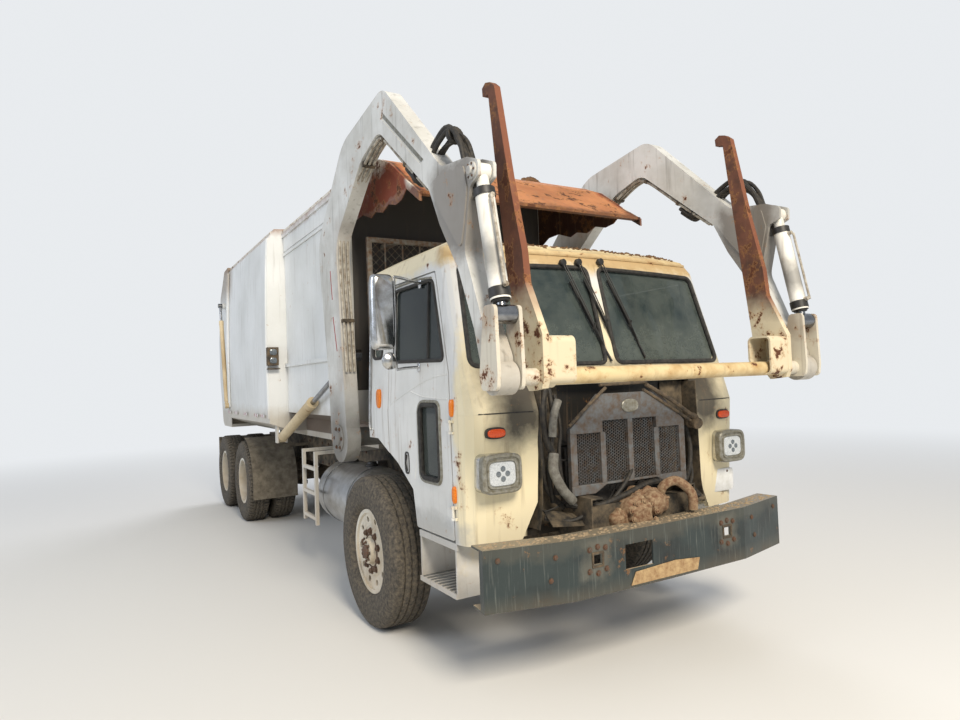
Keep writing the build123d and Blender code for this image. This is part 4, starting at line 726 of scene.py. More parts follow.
def wheel_fittings(shape, side, face_x, hub_x, y, z, ring):
    """Nuts of a disc wheel, with the hub's cap, its bolts and a ring round it."""
    axis = (side, 0, 0)
    for x, count, start, reach, size in ((face_x, WHEEL_NUTS, 0.5, ring, (0.036, 0.02)),
                                         (hub_x, HUB_BOLTS, 0.0, HUB_BOLT_RING, (0.017, 0.009))):
        for c, s in circle(count, start):
            hex_head(shape, at(side * x, y + reach * c, z + reach * s), axis, *size)
    lathe(shape, at(side * hub_x, y, z), axis,
          ((0, 0.05), (0.01, 0.05), (0.014, 0.046), (0.02, 0.026), (0.02, 0.01), (0.023, 0.0)), 24)
    lathe(shape, at(side * (face_x + 0.001), y, z), axis,
          ((-0.002, 0.121), (0.004, 0.119), (0.006, 0.112), (-0.002, 0.108)), 40)


@both_sides
def make_wheels(word, side):
    """Tyres with their tread in place of the plain ones, and the wheels' nuts and hubs."""
    shape = bmesh.new()
    add_tyre(shape, at(side * FRONT_WHEEL_X, 0, FRONT_TYRE[0]), FRONT_TYRE, False)
    piece(f"steer_tyre_{word}", shape, f"front_wheel_{word}", "tyre", replaces=[f"front_tyre_{word}"])
    shape = bmesh.new()
    wheel_fittings(shape, side, FRONT_WHEEL_X + FRONT_DISC, FRONT_WHEEL_X + FRONT_HUB, 0, FRONT_TYRE[0],
                   FRONT_NUT_RING)
    piece(f"steer_wheel_nuts_{word}", shape, f"front_wheel_{word}", "nuts")
    for number, y in REAR_AXLES:
        shape = bmesh.new()
        for step in (-DUAL_STEP, DUAL_STEP):
            add_tyre(shape, at(side * (DUAL_X + step), y, REAR_TYRE[0]), REAR_TYRE, True)
        piece(f"drive_tyres_{number}_{word}", shape, f"axle{number}_wheels_{word}", "tyre",
              replaces=[f"axle{number}_tyres_{word}"])
        shape = bmesh.new()
        wheel_fittings(shape, side, DUAL_X + REAR_DISC, DUAL_X + REAR_HUB, y, REAR_TYRE[0], REAR_NUT_RING)
        piece(f"drive_wheel_nuts_{number}_{word}", shape, f"axle{number}_wheels_{word}", "nuts")


# Cab openings: outlines in Y and Z on the sides, in X and Z on the front
DOOR_WINDOW = ((-1.075, 1.88), (-0.915, 2.385), (-0.33, 2.385), (-0.33, 1.9))
LOW_WINDOW = ((-1.01, 1.15), (-1.01, 1.6), (-0.76, 1.6), (-0.76, 1.15))
QUARTER_WINDOW = ((-0.1, 1.94), (-0.1, 2.39), (0.07, 2.39), (0.07, 1.94))
SCREEN_PANE = ((0.05, 1.835), (0.055, 2.47), (0.99, 2.455), (1.035, 1.835))


def grown(corners, amount):
    """Corners moved outwards from the middle of their outline."""
    middle = sum((Vector(corner) for corner in corners), Vector((0, 0))) / len(corners)
    return [Vector(corner) + Vector((math.copysign(amount, corner[0] - middle.x),
                                     math.copysign(amount, corner[1] - middle.y))) for corner in corners]


def side_loop(tree, corners, side, amount):
    """Rounded loop round a side window, laid on the skin."""
    return [on_side(tree, side, *point) for point in rounded(grown(corners, amount), 0.045 + amount)]


@both_sides
def make_seals(word, side):
    """Rubber seals round the windows."""
    door = skin_tree(f"door_{word}")
    shape = bmesh.new()
    tube(shape, side_loop(door, DOOR_WINDOW, side, 0.005), 0.012, 8, 1, True)
    tube(shape, side_loop(door, LOW_WINDOW, side, 0.005), 0.016, 8, 1, True)
    piece(f"door_window_seals_{word}", shape, f"door_{word}", "seal")
    cab = skin_tree("cab_shell")
    shape = bmesh.new()
    tube(shape, side_loop(cab, QUARTER_WINDOW, side, 0.005), 0.012, 8, 1, True)
    loop = [on_front(cab, side * x, z) for x, z in rounded(grown(SCREEN_PANE, 0.006), 0.056)]
    tube(shape, loop, 0.015, 8, 1, True)
    piece(f"screen_seals_{word}", shape, "chassis", "seal")


# Lift arms
ARM_IN, ARM_OUT = 1.135, 1.245
ARM_MID = (ARM_IN + ARM_OUT) / 2
PIPE_X = (1.158, 1.19, 1.222)
CLIP_NUMBERS = (1, 3, 5, 7, 8)          # points of the arm's edge that carry a clip
ELBOW_HOSES = (  # X, lift, sway, radius
    (1.165, 0.0, 0.0, 0.016), (1.2, 0.05, 0.03, 0.019), (1.222, 0.015, -0.03, 0.014),
    (1.182, -0.03, 0.05, 0.015))
ARCH_EDGE = ((0.365, 1.85), (0.395, 2.25), (0.44, 2.65), (0.405, 2.99), (0.18, 3.17), (-0.17, 3.335),
             (-0.4, 3.42), (-0.56, 3.39), (-0.9, 3.12), (-1.2, 2.885))


def inside_edge(offset):
    """The arm's inner edge, moved away from the arm."""
    points = [Vector(point) for point in ARCH_EDGE]
    moved = []
    for number, here in enumerate(points):
        before = points[max(number - 1, 0)]
        after = points[min(number + 1, len(points) - 1)]
        along = (after - before).normalized()
        moved.append(here + Vector((-along.y, along.x)) * offset)
    return moved


@both_sides
def make_arm_pipes(word, side):
    """Steel oil pipes along the inner edge of each arm, in clips, and the hoses over the elbow."""
    shape = bmesh.new()
    clips = bmesh.new()
    edge = inside_edge(0.02)
    for x in PIPE_X:
        pipe(shape, [(x, *point) for point in edge], 0.0105, 8, 6, side)
    for number in CLIP_NUMBERS:
        y, z = edge[number]
        before, after = edge[number - 1], edge[number + 1]
        along = (after - before).normalized() * 0.014
        up = Vector((-along.y, along.x))
        outline = [at(side * 1.142, *(edge[number] + d)) for d in
                   (-along - up * 1.3, along - up * 1.3, along + up, -along + up)]
        prism(clips, outline, (side * 0.096, 0, 0))
    piece(f"arm_oil_pipes_{word}", shape, "arms", "pipe")
    piece(f"arm_pipe_clips_{word}", clips, "arms", "iron", bevel=0.002)
    hoses = bmesh.new()
    for x, lift, sway, radius in ELBOW_HOSES:
        pipe(hoses, [(x, y, z) for y, z in
                     ((-0.9, 3.06 + lift), (-1.02, 2.975 + lift), (-1.15 + sway, 2.99 + lift),
                      (-1.3 + sway, 3.075 + lift), (-1.45 + sway, 3.105 + lift), (-1.56 + sway / 2, 3.03),
                      (-1.625, 2.9), (-1.69 + sway / 3, 2.79))], radius, side=side)
    for y, z in ((-1.02, 2.99), (-1.48, 3.09)):
        lathe(hoses, at(side * 1.195, y, z), (0, 1, -0.35 if y > -1.2 else -0.2),
              ((-0.016, 0.0), (-0.016, 0.048), (0.016, 0.048), (0.016, 0.0)), 14)
    piece(f"elbow_hoses_{word}", hoses, "arms", "hose")


# Guard mesh behind the cab
MESH_HALF, MESH_LOW, MESH_HIGH, MESH_Y, MESH_PITCH = 0.925, 1.735, 2.925, 0.516, 0.05


def make_guard_mesh():
    """Diamond mesh of crimped wire in the guard's frame."""
    shape = bmesh.new()
    width, height = 2 * MESH_HALF, MESH_HIGH - MESH_LOW
    step = MESH_PITCH * math.sqrt(2)
    for lean in (-1, 1):
        for number in range(int((width + height) / step) + 1):
            start = -MESH_HALF - height + number * step
            low, high = max(0.0, -MESH_HALF - start), min(height, MESH_HALF - start)
            if high - low < 0.02:
                continue
            y = MESH_Y + lean * 0.0015
            ends = [at(lean * (start + rise), y, MESH_LOW + rise) for rise in (low, high)]
            tube(shape, ends, 0.0016, 4, 1)
    piece("guard_wire", shape, "chassis", "mesh")


# Formed pieces
def superellipse(half_width, half_height, power, count):
    """Points of a rounded rectangle or an oval."""
    points = []
    for c, s in circle(count, 0.5):
        points.append((math.copysign(half_width * abs(c) ** (2 / power), c),
                       math.copysign(half_height * abs(s) ** (2 / power), s)))
    return points


def dished(shape, place, right, up, levels, power=5.0, count=36, first=False, last=True):
    """Form of stacked rounded outlines: half width, half height and how far out each stands."""
    right, up = Vector(right).normalized(), Vector(up).normalized()
    out = right.cross(up)
    rings = []
    for half_width, half_height, depth in levels:
        rings.append([shape.verts.new(place + right * u + up * v + out * depth)
                      for u, v in superellipse(half_width, half_height, power, count)])
    for near, far in zip(rings, rings[1:]):
        for k in range(count):
            shape.faces.new((near[k], near[k - 1], far[k - 1], far[k]))
    if first:
        shape.faces.new(rings[0])
    if last:
        shape.faces.new(rings[-1][::-1])


# Lamps and wipers
HEADLAMP = (0.957, -1.455, 1.219)
MARKER = (0.952, 1.442)                 # X and Z on the cab's front
SIDE_LAMPS = (  # Y, Z, half width, half height
    (-1.196, 1.59, 0.021, 0.052), (-1.196, 1.087, 0.02, 0.05), (-0.06, 1.64, 0.036, 0.07))
PLATE = (0.912, 0.972)


def make_lamps():
    """Headlamps with double bezels and four-part reflectors, markers and side lamps."""
    cab = skin_tree("cab_shell", "cab_panels")
    for word, side in SIDES:
        bezel, lens, dots = bmesh.new(), bmesh.new(), bmesh.new()
        place = at(side * HEADLAMP[0], *HEADLAMP[1:])
        dished(bezel, place, *FRONT, ((0.131, 0.111, -0.035), (0.131, 0.111, 0.004), (0.124, 0.104, 0.012),
                                      (0.113, 0.093, 0.012), (0.109, 0.089, 0.003), (0.104, 0.084, 0.003),
                                      (0.1, 0.08, 0.01), (0.091, 0.071, 0.01), (0.088, 0.068, 0.001)),
               last=False)
        dished(lens, place, *FRONT, ((0.088, 0.068, 0.001), (0.084, 0.064, 0.007), (0.06, 0.045, 0.01)))
        for u, v in ((-0.03, 0.0), (0.03, 0.0), (0.0, 0.028), (0.0, -0.028)):
            dished(dots, place + Vector((u, -0.0098, v)), *FRONT,
                   ((0.017, 0.017, -0.002), (0.016, 0.016, 0.002), (0.007, 0.007, 0.003)), 2.0, 18)
        piece(f"headlamp_bezel_{word}", bezel, "chassis", "bezel")
        piece(f"headlamp_lens_{word}", lens, "chassis", "lens")
        piece(f"headlamp_reflectors_{word}", dots, "chassis", "reflector")
        rim, glow, sides = bmesh.new(), bmesh.new(), bmesh.new()
        place = on_front(cab, side * MARKER[0], MARKER[1])
        dished(rim, place, *FRONT, ((0.066, 0.033, -0.01), (0.066, 0.033, 0.012), (0.06, 0.027, 0.016)), 3.0)
        dished(glow, place, *FRONT, ((0.058, 0.025, 0.0), (0.057, 0.024, 0.024), (0.046, 0.015, 0.03)), 3.0)
        for y, z, wide, tall in SIDE_LAMPS:
            dished(sides, on_side(cab, side, y, z), *outer(side),
                   ((wide, tall, -0.006), (wide - 0.001, tall - 0.001, 0.012),
                    (wide - 0.009, tall - 0.012, 0.018)), 3.0, 28)
        piece(f"marker_rim_{word}", rim, "chassis", "black")
        piece(f"marker_lamps_{word}", glow, "chassis", "amber")
        piece(f"side_lamps_{word}", sides, "chassis", "side_lens")
    shape = bmesh.new()
    place = on_front(cab, *PLATE)
    dished(shape, place, *FRONT,
           ((0.151, 0.079, 0.0), (0.151, 0.079, 0.003), (0.149, 0.077, 0.004)), 12.0, 48)
    piece("blank_plate", shape, "chassis", "blank_plate")
    shape = bmesh.new()
    for u in (-0.09, 0.09):
        hex_head(shape, place + Vector((u, -0.004, 0.058)), (0, -1, 0), 0.012, 0.004)
    piece("plate_bolts", shape, "chassis", "nuts")


WIPERS = (  # pivot and tip, in X and Z
    ((-0.12, 2.5), (0.06, 1.88)), ((0.075, 2.515), (0.3, 1.87)), ((-0.25, 2.49), (-0.02, 1.85)))
BLADE_SHARE = 0.62                      # length of a blade, of its arm's length


def on_screen(tree, x, z, lift):
    """Point a little ahead of the windscreen."""
    return on_front(tree, x, z, -2.2) + Vector((0, -lift, lift * 0.26))


def make_wipers():
    """Three blades on double arms that hang from the header."""
    screen = skin_tree("cab_shell", "cab_glass", "cab_panels")
    shape = bmesh.new()
    for top, low in WIPERS:
        pivot = on_screen(screen, *top, 0.03)
        middle = on_screen(screen, (top[0] + 2 * low[0]) / 3, (top[1] + 2 * low[1]) / 3, 0.034)
        for gap in (-0.01, 0.01):
            aside = Vector((gap, 0, 0))
            tube(shape, [pivot + aside, middle + aside * 0.6], 0.0045, 6, 1)
        dished(shape, pivot + Vector((0, 0.02, 0)), *FRONT, ((0.024, 0.024, 0.0), (0.024, 0.024, 0.024),
                                                            (0.018, 0.018, 0.03)), 2.0, 20)
        reach = (low[0] - top[0]) * BLADE_SHARE, (low[1] - top[1]) * BLADE_SHARE
        ends = [on_screen(screen, middle.x + share * reach[0], middle.z + share * reach[1], 0.014)
                for share in (-0.75, 0.0, 0.6)]
        tube(shape, ends, 0.0075, 5, 3)
        for share in (0.2, 0.8):
            spot = ends[0].lerp(ends[2], share)
            tube(shape, [middle, spot + Vector((0, -0.006, 0))], 0.004, 5, 1)
        tube(shape, [middle + Vector((0, -0.004, 0.02)), middle + Vector((0, 0.014, -0.02))], 0.01, 8, 1)
    piece("wipers", shape, "chassis", "black")


# Grille and open nose
GRILLE_X, GRILLE_LOW, GRILLE_HIGH, GRILLE_KNEE, GRILLE_FRONT = 0.479, 1.033, 1.636, 1.434, -1.47
COLUMNS = ((-0.3375, 1.4), (-0.1125, 1.47), (0.1125, 1.47), (0.3375, 1.4))
SLOT_HALF, SLOT_LOW = 0.092, 1.093


def hexagons(shape, x0, x1, z0, z1, y, size):
    """Hexagon mesh of thin webs in a rectangle."""
    rise = size * math.sqrt(3) / 2
    row = 0
    z = z0
    while z < z1 + rise:
        x = x0 + (1.5 * size if row % 2 else 0.0)
        while x < x1 + size:
            for k in (0, 1, 2):
                a = Vector((x + size * math.cos(k * math.pi / 3), y, z + size * math.sin(k * math.pi / 3)))
                b = Vector((x + size * math.cos((k + 1) * math.pi / 3), y,
                            z + size * math.sin((k + 1) * math.pi / 3)))
                middle = (a + b) / 2
                if x0 < middle.x < x1 and z0 < middle.z < z1:
                    across = Vector((0, 1, 0)).cross((b - a).normalized()) * 0.0014
                    prism(shape, (a - across, b - across, b + across, a + across), (0, 0.006, 0))
            x += 3 * size
        row += 1
        z += rise


def make_grille():
    """Cast grille: a notched frame with four columns of fine hexagon mesh."""
    shape = bmesh.new()
    inner = 0.2295
    tall = (0, 0.036, 0)
    y = GRILLE_FRONT
    top = ((-GRILLE_X, GRILLE_KNEE), (-0.246, GRILLE_HIGH), (0.246, GRILLE_HIGH), (GRILLE_X, GRILLE_KNEE),
           (GRILLE_X, 1.4), (inner - 0.004, 1.4), (inner - 0.004, 1.47), (0.004 - inner, 1.47),
           (0.004 - inner, 1.4), (-GRILLE_X, 1.4))
    low = ((-GRILLE_X, SLOT_LOW), (GRILLE_X, SLOT_LOW), (GRILLE_X, GRILLE_LOW), (0.3, GRILLE_LOW),
           (0.215, 1.078), (-0.215, 1.078), (-0.3, GRILLE_LOW), (-GRILLE_X, GRILLE_LOW))
    for outline in (top, low):
        prism(shape, [at(x, y, z) for x, z in outline], tall)
    for x0, x1, high in ((-GRILLE_X, -0.4295, 1.402), (-0.2455, -0.2045, 1.402), (-0.0205, 0.0205, 1.472),
                         (0.2045, 0.2455, 1.402), (0.4295, GRILLE_X, 1.402)):
        slab(shape, at(x0, y, SLOT_LOW - 0.002), at(x1, y + 0.036, high))
    for x in (-0.225, 0.225):
        slab(shape, at(x - 0.02, y + 0.03, 1.15), at(x + 0.02, -1.311, 1.19))
    piece("grille_casting", shape, "chassis", "grille", bevel=0.004, replaces=["grille"])
    shape = bmesh.new()
    for x, high in COLUMNS:
        hexagons(shape, x - SLOT_HALF, x + SLOT_HALF, SLOT_LOW, high, y + SHIFT + 0.016, 0.0105)
    piece("grille_mesh", shape, "chassis", "grille")
    shape = bmesh.new()
    dished(shape, at(0, y, 1.553), *FRONT, ((0.07, 0.042, 0.0), (0.07, 0.042, 0.006), (0.064, 0.036, 0.01),
                                          (0.058, 0.03, 0.006)), 2.2, 40)
    piece("blank_oval", shape, "chassis", "bezel")


LINKAGE_RODS = (  # points and radius
    (((-0.2, -1.48, 1.672), (-0.33, -1.49, 1.585), (-0.5, -1.49, 1.455)), 0.01),
    (((-0.225, -1.47, 1.655), (-0.35, -1.482, 1.56), (-0.47, -1.482, 1.47)), 0.006),
    (((0.14, -1.48, 1.68), (0.35, -1.49, 1.57), (0.56, -1.48, 1.45)), 0.014),
    (((0.12, -1.47, 1.65), (0.34, -1.475, 1.53), (0.54, -1.47, 1.425)), 0.01),
    (((-0.23, -1.46, 1.69), (0.16, -1.46, 1.695)), 0.01),
)


def make_linkage():
    """Rods of the wipers' linkage above the grille, with its motor."""
    rods = bmesh.new()
    for points, radius in LINKAGE_RODS:
        pipe(rods, points, radius, 8, 3)
    lathe(rods, at(0.585, -1.49, 1.4), (0.2, 0.9, 0.3),
          ((-0.01, 0.0), (-0.01, 0.034), (0.0, 0.04), (0.05, 0.04), (0.06, 0.052), (0.078, 0.052),
           (0.078, 0.0)), 24)
    piece("wiper_linkage", rods, "chassis", "iron")


NOSE_HOSES = (  # points and radius
    (((-0.6, -1.4, 1.69), (-0.64, -1.42, 1.56), (-0.625, -1.43, 1.38), (-0.56, -1.44, 1.23),
      (-0.545, -1.4, 1.05)), 0.022),
    (((-0.56, -1.38, 1.69), (-0.575, -1.43, 1.52), (-0.6, -1.44, 1.35), (-0.61, -1.42, 1.18),
      (-0.56, -1.38, 1.0)), 0.015),
    (((-0.52, -1.38, 1.64), (-0.53, -1.44, 1.45), (-0.555, -1.45, 1.29), (-0.52, -1.43, 1.1)), 0.011),
    (((-0.63, -1.36, 1.65), (-0.655, -1.4, 1.45), (-0.65, -1.41, 1.25), (-0.6, -1.38, 1.08),
      (-0.48, -1.38, 0.96)), 0.018),
    (((0.6, -1.36, 1.38), (0.6, -1.4, 1.25), (0.56, -1.42, 1.1), (0.52, -1.4, 0.98)), 0.016),
    (((0.64, -1.36, 1.3), (0.62, -1.38, 1.15), (0.6, -1.4, 1.02), (0.48, -1.42, 0.94),
      (0.3, -1.4, 0.93)), 0.012),
    (((-0.48, -1.4, 0.98), (-0.33, -1.48, 0.96), (-0.12, -1.5, 1.0), (0.12, -1.48, 1.05),
      (0.33, -1.44, 1.04), (0.5, -1.4, 0.99)), 0.02),
    (((-0.38, -1.42, 0.9), (-0.25, -1.48, 0.94), (-0.08, -1.49, 1.08), (0.04, -1.44, 1.18)), 0.013),
    (((-0.64, -1.4, 0.92), (-0.5, -1.47, 0.895), (-0.35, -1.49, 0.93), (-0.18, -1.45, 0.88)), 0.014),
    (((0.2, -1.42, 0.9), (0.35, -1.47, 0.96), (0.52, -1.48, 0.93), (0.66, -1.43, 0.9)), 0.014),
)
NOSE_WIRES = 26


def make_nose_hoses():
    """Hoses, wires and an air duct where the nose panels are gone."""
    hoses = bmesh.new()
    for points, radius in NOSE_HOSES:
        pipe(hoses, points, radius)
    piece("nose_hoses", hoses, "chassis", "hose")
    wires = bmesh.new()
    for number in range(NOSE_WIRES):
        x = rng.uniform(-0.62, 0.62)
        z = rng.uniform(0.9, 1.3) if abs(x) < 0.48 else rng.uniform(0.92, 1.66)
        start = Vector((x, rng.uniform(-1.45, -1.34), z))
        end = start + Vector((rng.uniform(-0.35, 0.35), rng.uniform(-0.03, 0.03), rng.uniform(-0.25, 0.1)))
        end.x = max(-0.64, min(0.64, end.x))
        end.z = max(0.88, end.z)
        sag = start.lerp(end, 0.5) - Vector((0, 0.02, rng.uniform(0.02, 0.09)))
        if abs(start.x) < 0.5 and max(start.z, end.z) > 1.03:
            start.y = end.y = sag.y = -1.4
        pipe(wires, (start, sag, end), rng.uniform(0.003, 0.006), 5)
    piece("nose_wires", wires, "chassis", "seal")
    ducts = bmesh.new()
    pipe(ducts, ((-0.6, -1.46, 1.3), (-0.615, -1.475, 1.2), (-0.56, -1.48, 1.09),
                 (-0.48, -1.47, 1.01)), 0.03, 12)
    pipe(ducts, ((-0.555, -1.465, 1.61), (-0.6, -1.475, 1.52), (-0.615, -1.475, 1.4)), 0.024, 10)
    piece("nose_duct", ducts, "chassis", "duct")


CAST_LUMPS = (  # place, axis, size
    ((-0.06, -1.53, 0.9), (1, 0.2, 0), 0.105), ((0.08, -1.54, 0.945), (0.2, 1, 0), 0.085),
    ((0.17, -1.5, 0.93), (0, 0.3, 1), 0.07), ((-0.19, -1.53, 0.87), (1, 0, 0.3), 0.065),
    ((0.01, -1.47, 0.985), (0.3, 0.2, 1), 0.06))
CAST_PROFILE = (  # along and radius, as shares of a lump's size
    (-1.0, 0), (-0.95, 0.55), (-0.75, 0.82), (-0.3, 0.95), (0.0, 1.0), (0.1, 1.12), (0.3, 1.12), (0.35, 0.9),
    (0.8, 0.7), (0.95, 0.45), (1.0, 0))


def lump_section(size, step):
    """Section of a rough casting, a little wider or narrower at each step."""
    swell = size * (1 + 0.08 * math.sin(step * 2.1))
    return [(along * size, radius * swell) for along, radius in CAST_PROFILE]


def make_nose_casting():
    """Rusted casting with its bolts and a bent pipe, behind the bumper."""
    cast = bmesh.new()
    for place, axis, size in CAST_LUMPS:
        lathe(cast, at(*place), axis, functools.partial(lump_section, size), 22)
    for turn in (number * 0.7 for number in range(9)):
        c, s = math.cos(turn), math.sin(turn)
        hex_head(cast, at(-0.06 + 0.1 * c, -1.625 + 0.02 * s, 0.905 + 0.07 * s), (0, -1, 0.2), 0.026, 0.014)
    piece("nose_casting", cast, "chassis", "casting", bevel=0.002)
    bent = bmesh.new()
    pipe(bent, ((0.165, -1.52, 0.955), (0.175, -1.56, 1.04), (0.25, -1.6, 1.065), (0.33, -1.64, 0.985),
                (0.33, -1.65, 0.88)), 0.03, 12)
    piece("nose_pipe", bent, "chassis", "casting")


FIN_BACK = -1.3105                      # the radiator's fins and tubes reach back to this Y


def make_radiator():
    """The radiator's fins, tubes and tank, and the liners and floor plates beside it."""
    fins = bmesh.new()
    for z in (1.06 + number * 0.009 for number in range(28)):
        slab(fins, at(-0.425, -1.33, z), at(0.425, FIN_BACK, z + 0.0022))
    for x in (-0.424 + number * 0.052 for number in range(17)):
        slab(fins, at(x, -1.336, 1.05), at(x + 0.01, FIN_BACK, 1.305))
    slab(fins, at(-0.44, -1.345, 0.96), at(0.44, FIN_BACK, 1.045))
    piece("radiator_fins", fins, "chassis", "radiator")
    plates = bmesh.new()
    for _, side in SIDES:
        edge = ((0.69, 0.86), (0.664, 1.02), (0.65, 1.69))
        ahead = [at(side * x, -1.425, z) for x, z in edge]
        behind = [at(side * x, -1.3, z) for x, z in edge[::-1]]
        prism(plates, ahead + behind, (side * 0.004, 0, 0))
        slab(plates, at(side * 0.44, -1.3, 0.86), at(side * 0.65, -1.296, 1.69))
    for corners in (((-0.64, -1.48, 0.88), (-0.38, -1.52, 0.86), (-0.36, -1.4, 0.9), (-0.64, -1.38, 0.96)),
                    ((0.33, -1.52, 0.86), (0.64, -1.48, 0.89), (0.64, -1.38, 0.96), (0.36, -1.4, 0.9))):
        prism(plates, [at(*corner) for corner in corners], (0, 0, 0.008))
    piece("nose_liners", plates, "chassis", "frame")


# Bumper
BUMPER_TOP = 0.8595
BUMPER_GRAINS = 420
TOW_HOLE_X = 0.53


def bumper_y(x):
    """Front face of the bumper at a distance from the middle."""
    x = abs(x)
    return -1.745 + 0.012 * x / 0.7 if x < 0.7 else -1.733 + 0.113 * (x - 0.7) / 0.5


def make_bumper_trim():
    """Bolts and frames round the tow holes, a tan patch plate, and dirt on the top flange."""
    bolts = bmesh.new()
    for _, side in SIDES:
        for dx, z in ((-0.055, 0.79), (0.0, 0.8), (0.055, 0.79), (-0.06, 0.672), (0.0, 0.655),
                      (0.06, 0.672)):
            x = side * TOW_HOLE_X + dx
            hex_head(bolts, at(x, bumper_y(x), z), (0, -1, 0), 0.024, 0.01)
        for x, z in ((0.8, 0.78), (0.83, 0.66), (1.12, 0.8)):
            hex_head(bolts, at(side * x, bumper_y(x) - 0.001, z), (0, -1, 0), 0.022, 0.008)
    piece("bumper_bolts", bolts, "chassis", "nuts")
    patch = bmesh.new()
    prism(patch, [at(x, bumper_y(reach) - 0.001, z) for x, reach, z in
                  ((-0.3, 0.3, 0.545), (0.24, 0.24, 0.545), (0.262, 0.26, 0.615), (0.05, 0.05, 0.634),
                   (-0.262, 0.26, 0.618))], (0, -0.006, 0))
    piece("bumper_patch", patch, "chassis", "patch", bevel=0.002)
    rings = bmesh.new()
    for x0, x1, z0, z1 in ((-0.56, -0.5, 0.7, 0.762), (0.5, 0.56, 0.7, 0.762)):
        middle = (x0 + x1) / 2
        y = bumper_y(middle)
        for a, b, c, d in ((x0 - 0.012, x1 + 0.012, z1, z1 + 0.012), (x0 - 0.012, x1 + 0.012, z0 - 0.012, z0),
                           (x0 - 0.012, x0, z0, z1), (x1, x1 + 0.012, z0, z1)):
            slab(rings, at(a, y - 0.005, c), at(b, y + 0.006, d))
    piece("bumper_hole_frames", rings, "chassis", "iron", bevel=0.002)
    dirt = bmesh.new()
    for number in range(BUMPER_GRAINS):
        x = rng.uniform(-1.17, 1.17)
        size = rng.uniform(0.004, 0.013)
        y = bumper_y(x) + rng.uniform(0.02, 0.13)
        dished(dirt, at(x, y, BUMPER_TOP), *TOP,
               ((size, size * 0.8, 0.0), (size * 0.7, size * 0.6, size * 0.35)), 2.0, 6)
    piece("bumper_dirt", dirt, "chassis", "sand")


# Doors and seat
MIRROR_AT = (1.345, -0.735, 2.2)
MIRROR_POST = (1.262, -0.73)            # X and Y of the upright tube
ROUND_MIRROR_AT = (1.3, -0.722, 1.89)


@both_sides
def make_mirrors(word, side):
    """Tall mirror in a chrome shell on a bent tube, with a round convex mirror below it."""
    shell, glass, tubes = bmesh.new(), bmesh.new(), bmesh.new()
    x, y, z = MIRROR_AT
    back = at(side * x, y, z)
    dished(shell, back, *REAR,
           ((0.06, 0.215, -0.024), (0.074, 0.232, -0.012), (0.079, 0.239, 0.006), (0.08, 0.24, 0.03),
            (0.076, 0.236, 0.032), (0.074, 0.234, 0.028)), 7.0, 40, True)
    dished(glass, back + Vector((0, 0.0285, 0)), *REAR,
           ((0.072, 0.232, 0.0), (0.071, 0.231, 0.001)), 7.0, 40, True)
    door = skin_tree(f"door_{word}")
    post_x, post_y = MIRROR_POST
    for skin_z, knee_z in ((2.39, 2.426), (1.845, 1.833)):
        foot = on_side(door, side, post_y, skin_z)
        knee = at(side * post_x, post_y, knee_z)
        tube(tubes, [foot, foot.lerp(knee, 0.6) + Vector((0, 0, 0.004)), knee], 0.0095, 10, 4)
        dished(tubes, foot, *outer(side),
               ((0.022, 0.032, -0.002), (0.022, 0.032, 0.004), (0.014, 0.022, 0.008)), 3.0, 20)
    pipe(tubes, [(post_x + bow, post_y, z) for bow, z in
                 ((0.0, 1.835), (0.008, 1.92), (0.0, 2.1), (0.0, 2.3), (0.0, 2.425))], 0.0095, 10, 4, side)
    for z in (2.06, 2.34):
        pipe(tubes, ((post_x, post_y, z), (1.3, post_y - 0.002, z)), 0.009, 8, 1, side)
    x, y, z = ROUND_MIRROR_AT
    cup = at(side * x, y, z)
    lathe(tubes, cup, (0, 1, 0),
          ((-0.022, 0.0), (-0.018, 0.03), (-0.004, 0.052), (0.008, 0.056), (0.01, 0.052), (0.007, 0.048)), 28)
    lathe(glass, cup, (0, 1, 0), ((0.005, 0.05), (0.009, 0.035), (0.012, 0.015), (0.0125, 0.0)), 28)
    pipe(tubes, ((post_x, post_y, 1.88), (1.29, post_y - 0.006, 1.89)), 0.007, 8, 1, side)
    piece(f"mirror_shell_{word}", shell, f"door_{word}", "chrome", replaces=[f"mirror_{word}"])
    piece(f"mirror_glass_{word}", glass, f"door_{word}", "mirror_glass")
    piece(f"mirror_tubes_{word}", tubes, f"door_{word}", "chrome")


PANEL_SEAM_Z = 1.552
GRAB_BAR_Y = 0.108
GRAB_BAR = (  # Z and how far off the skin
    (2.395, 0.0), (2.37, 0.012), (2.1, 0.012), (1.75, 0.012), (1.44, 0.012), (1.415, 0.0))
CREASES = (  # Y, Z
    ((-1.12, 1.79), (-0.9, 1.77), (-0.6, 1.7), (-0.27, 1.6)),
    ((-1.13, 1.64), (-0.8, 1.655), (-0.6, 1.69)),
    ((-0.7, 1.56), (-0.69, 1.3), (-0.64, 1.12)))
TREAD_BARS, TREAD_STEP = 9, 0.052


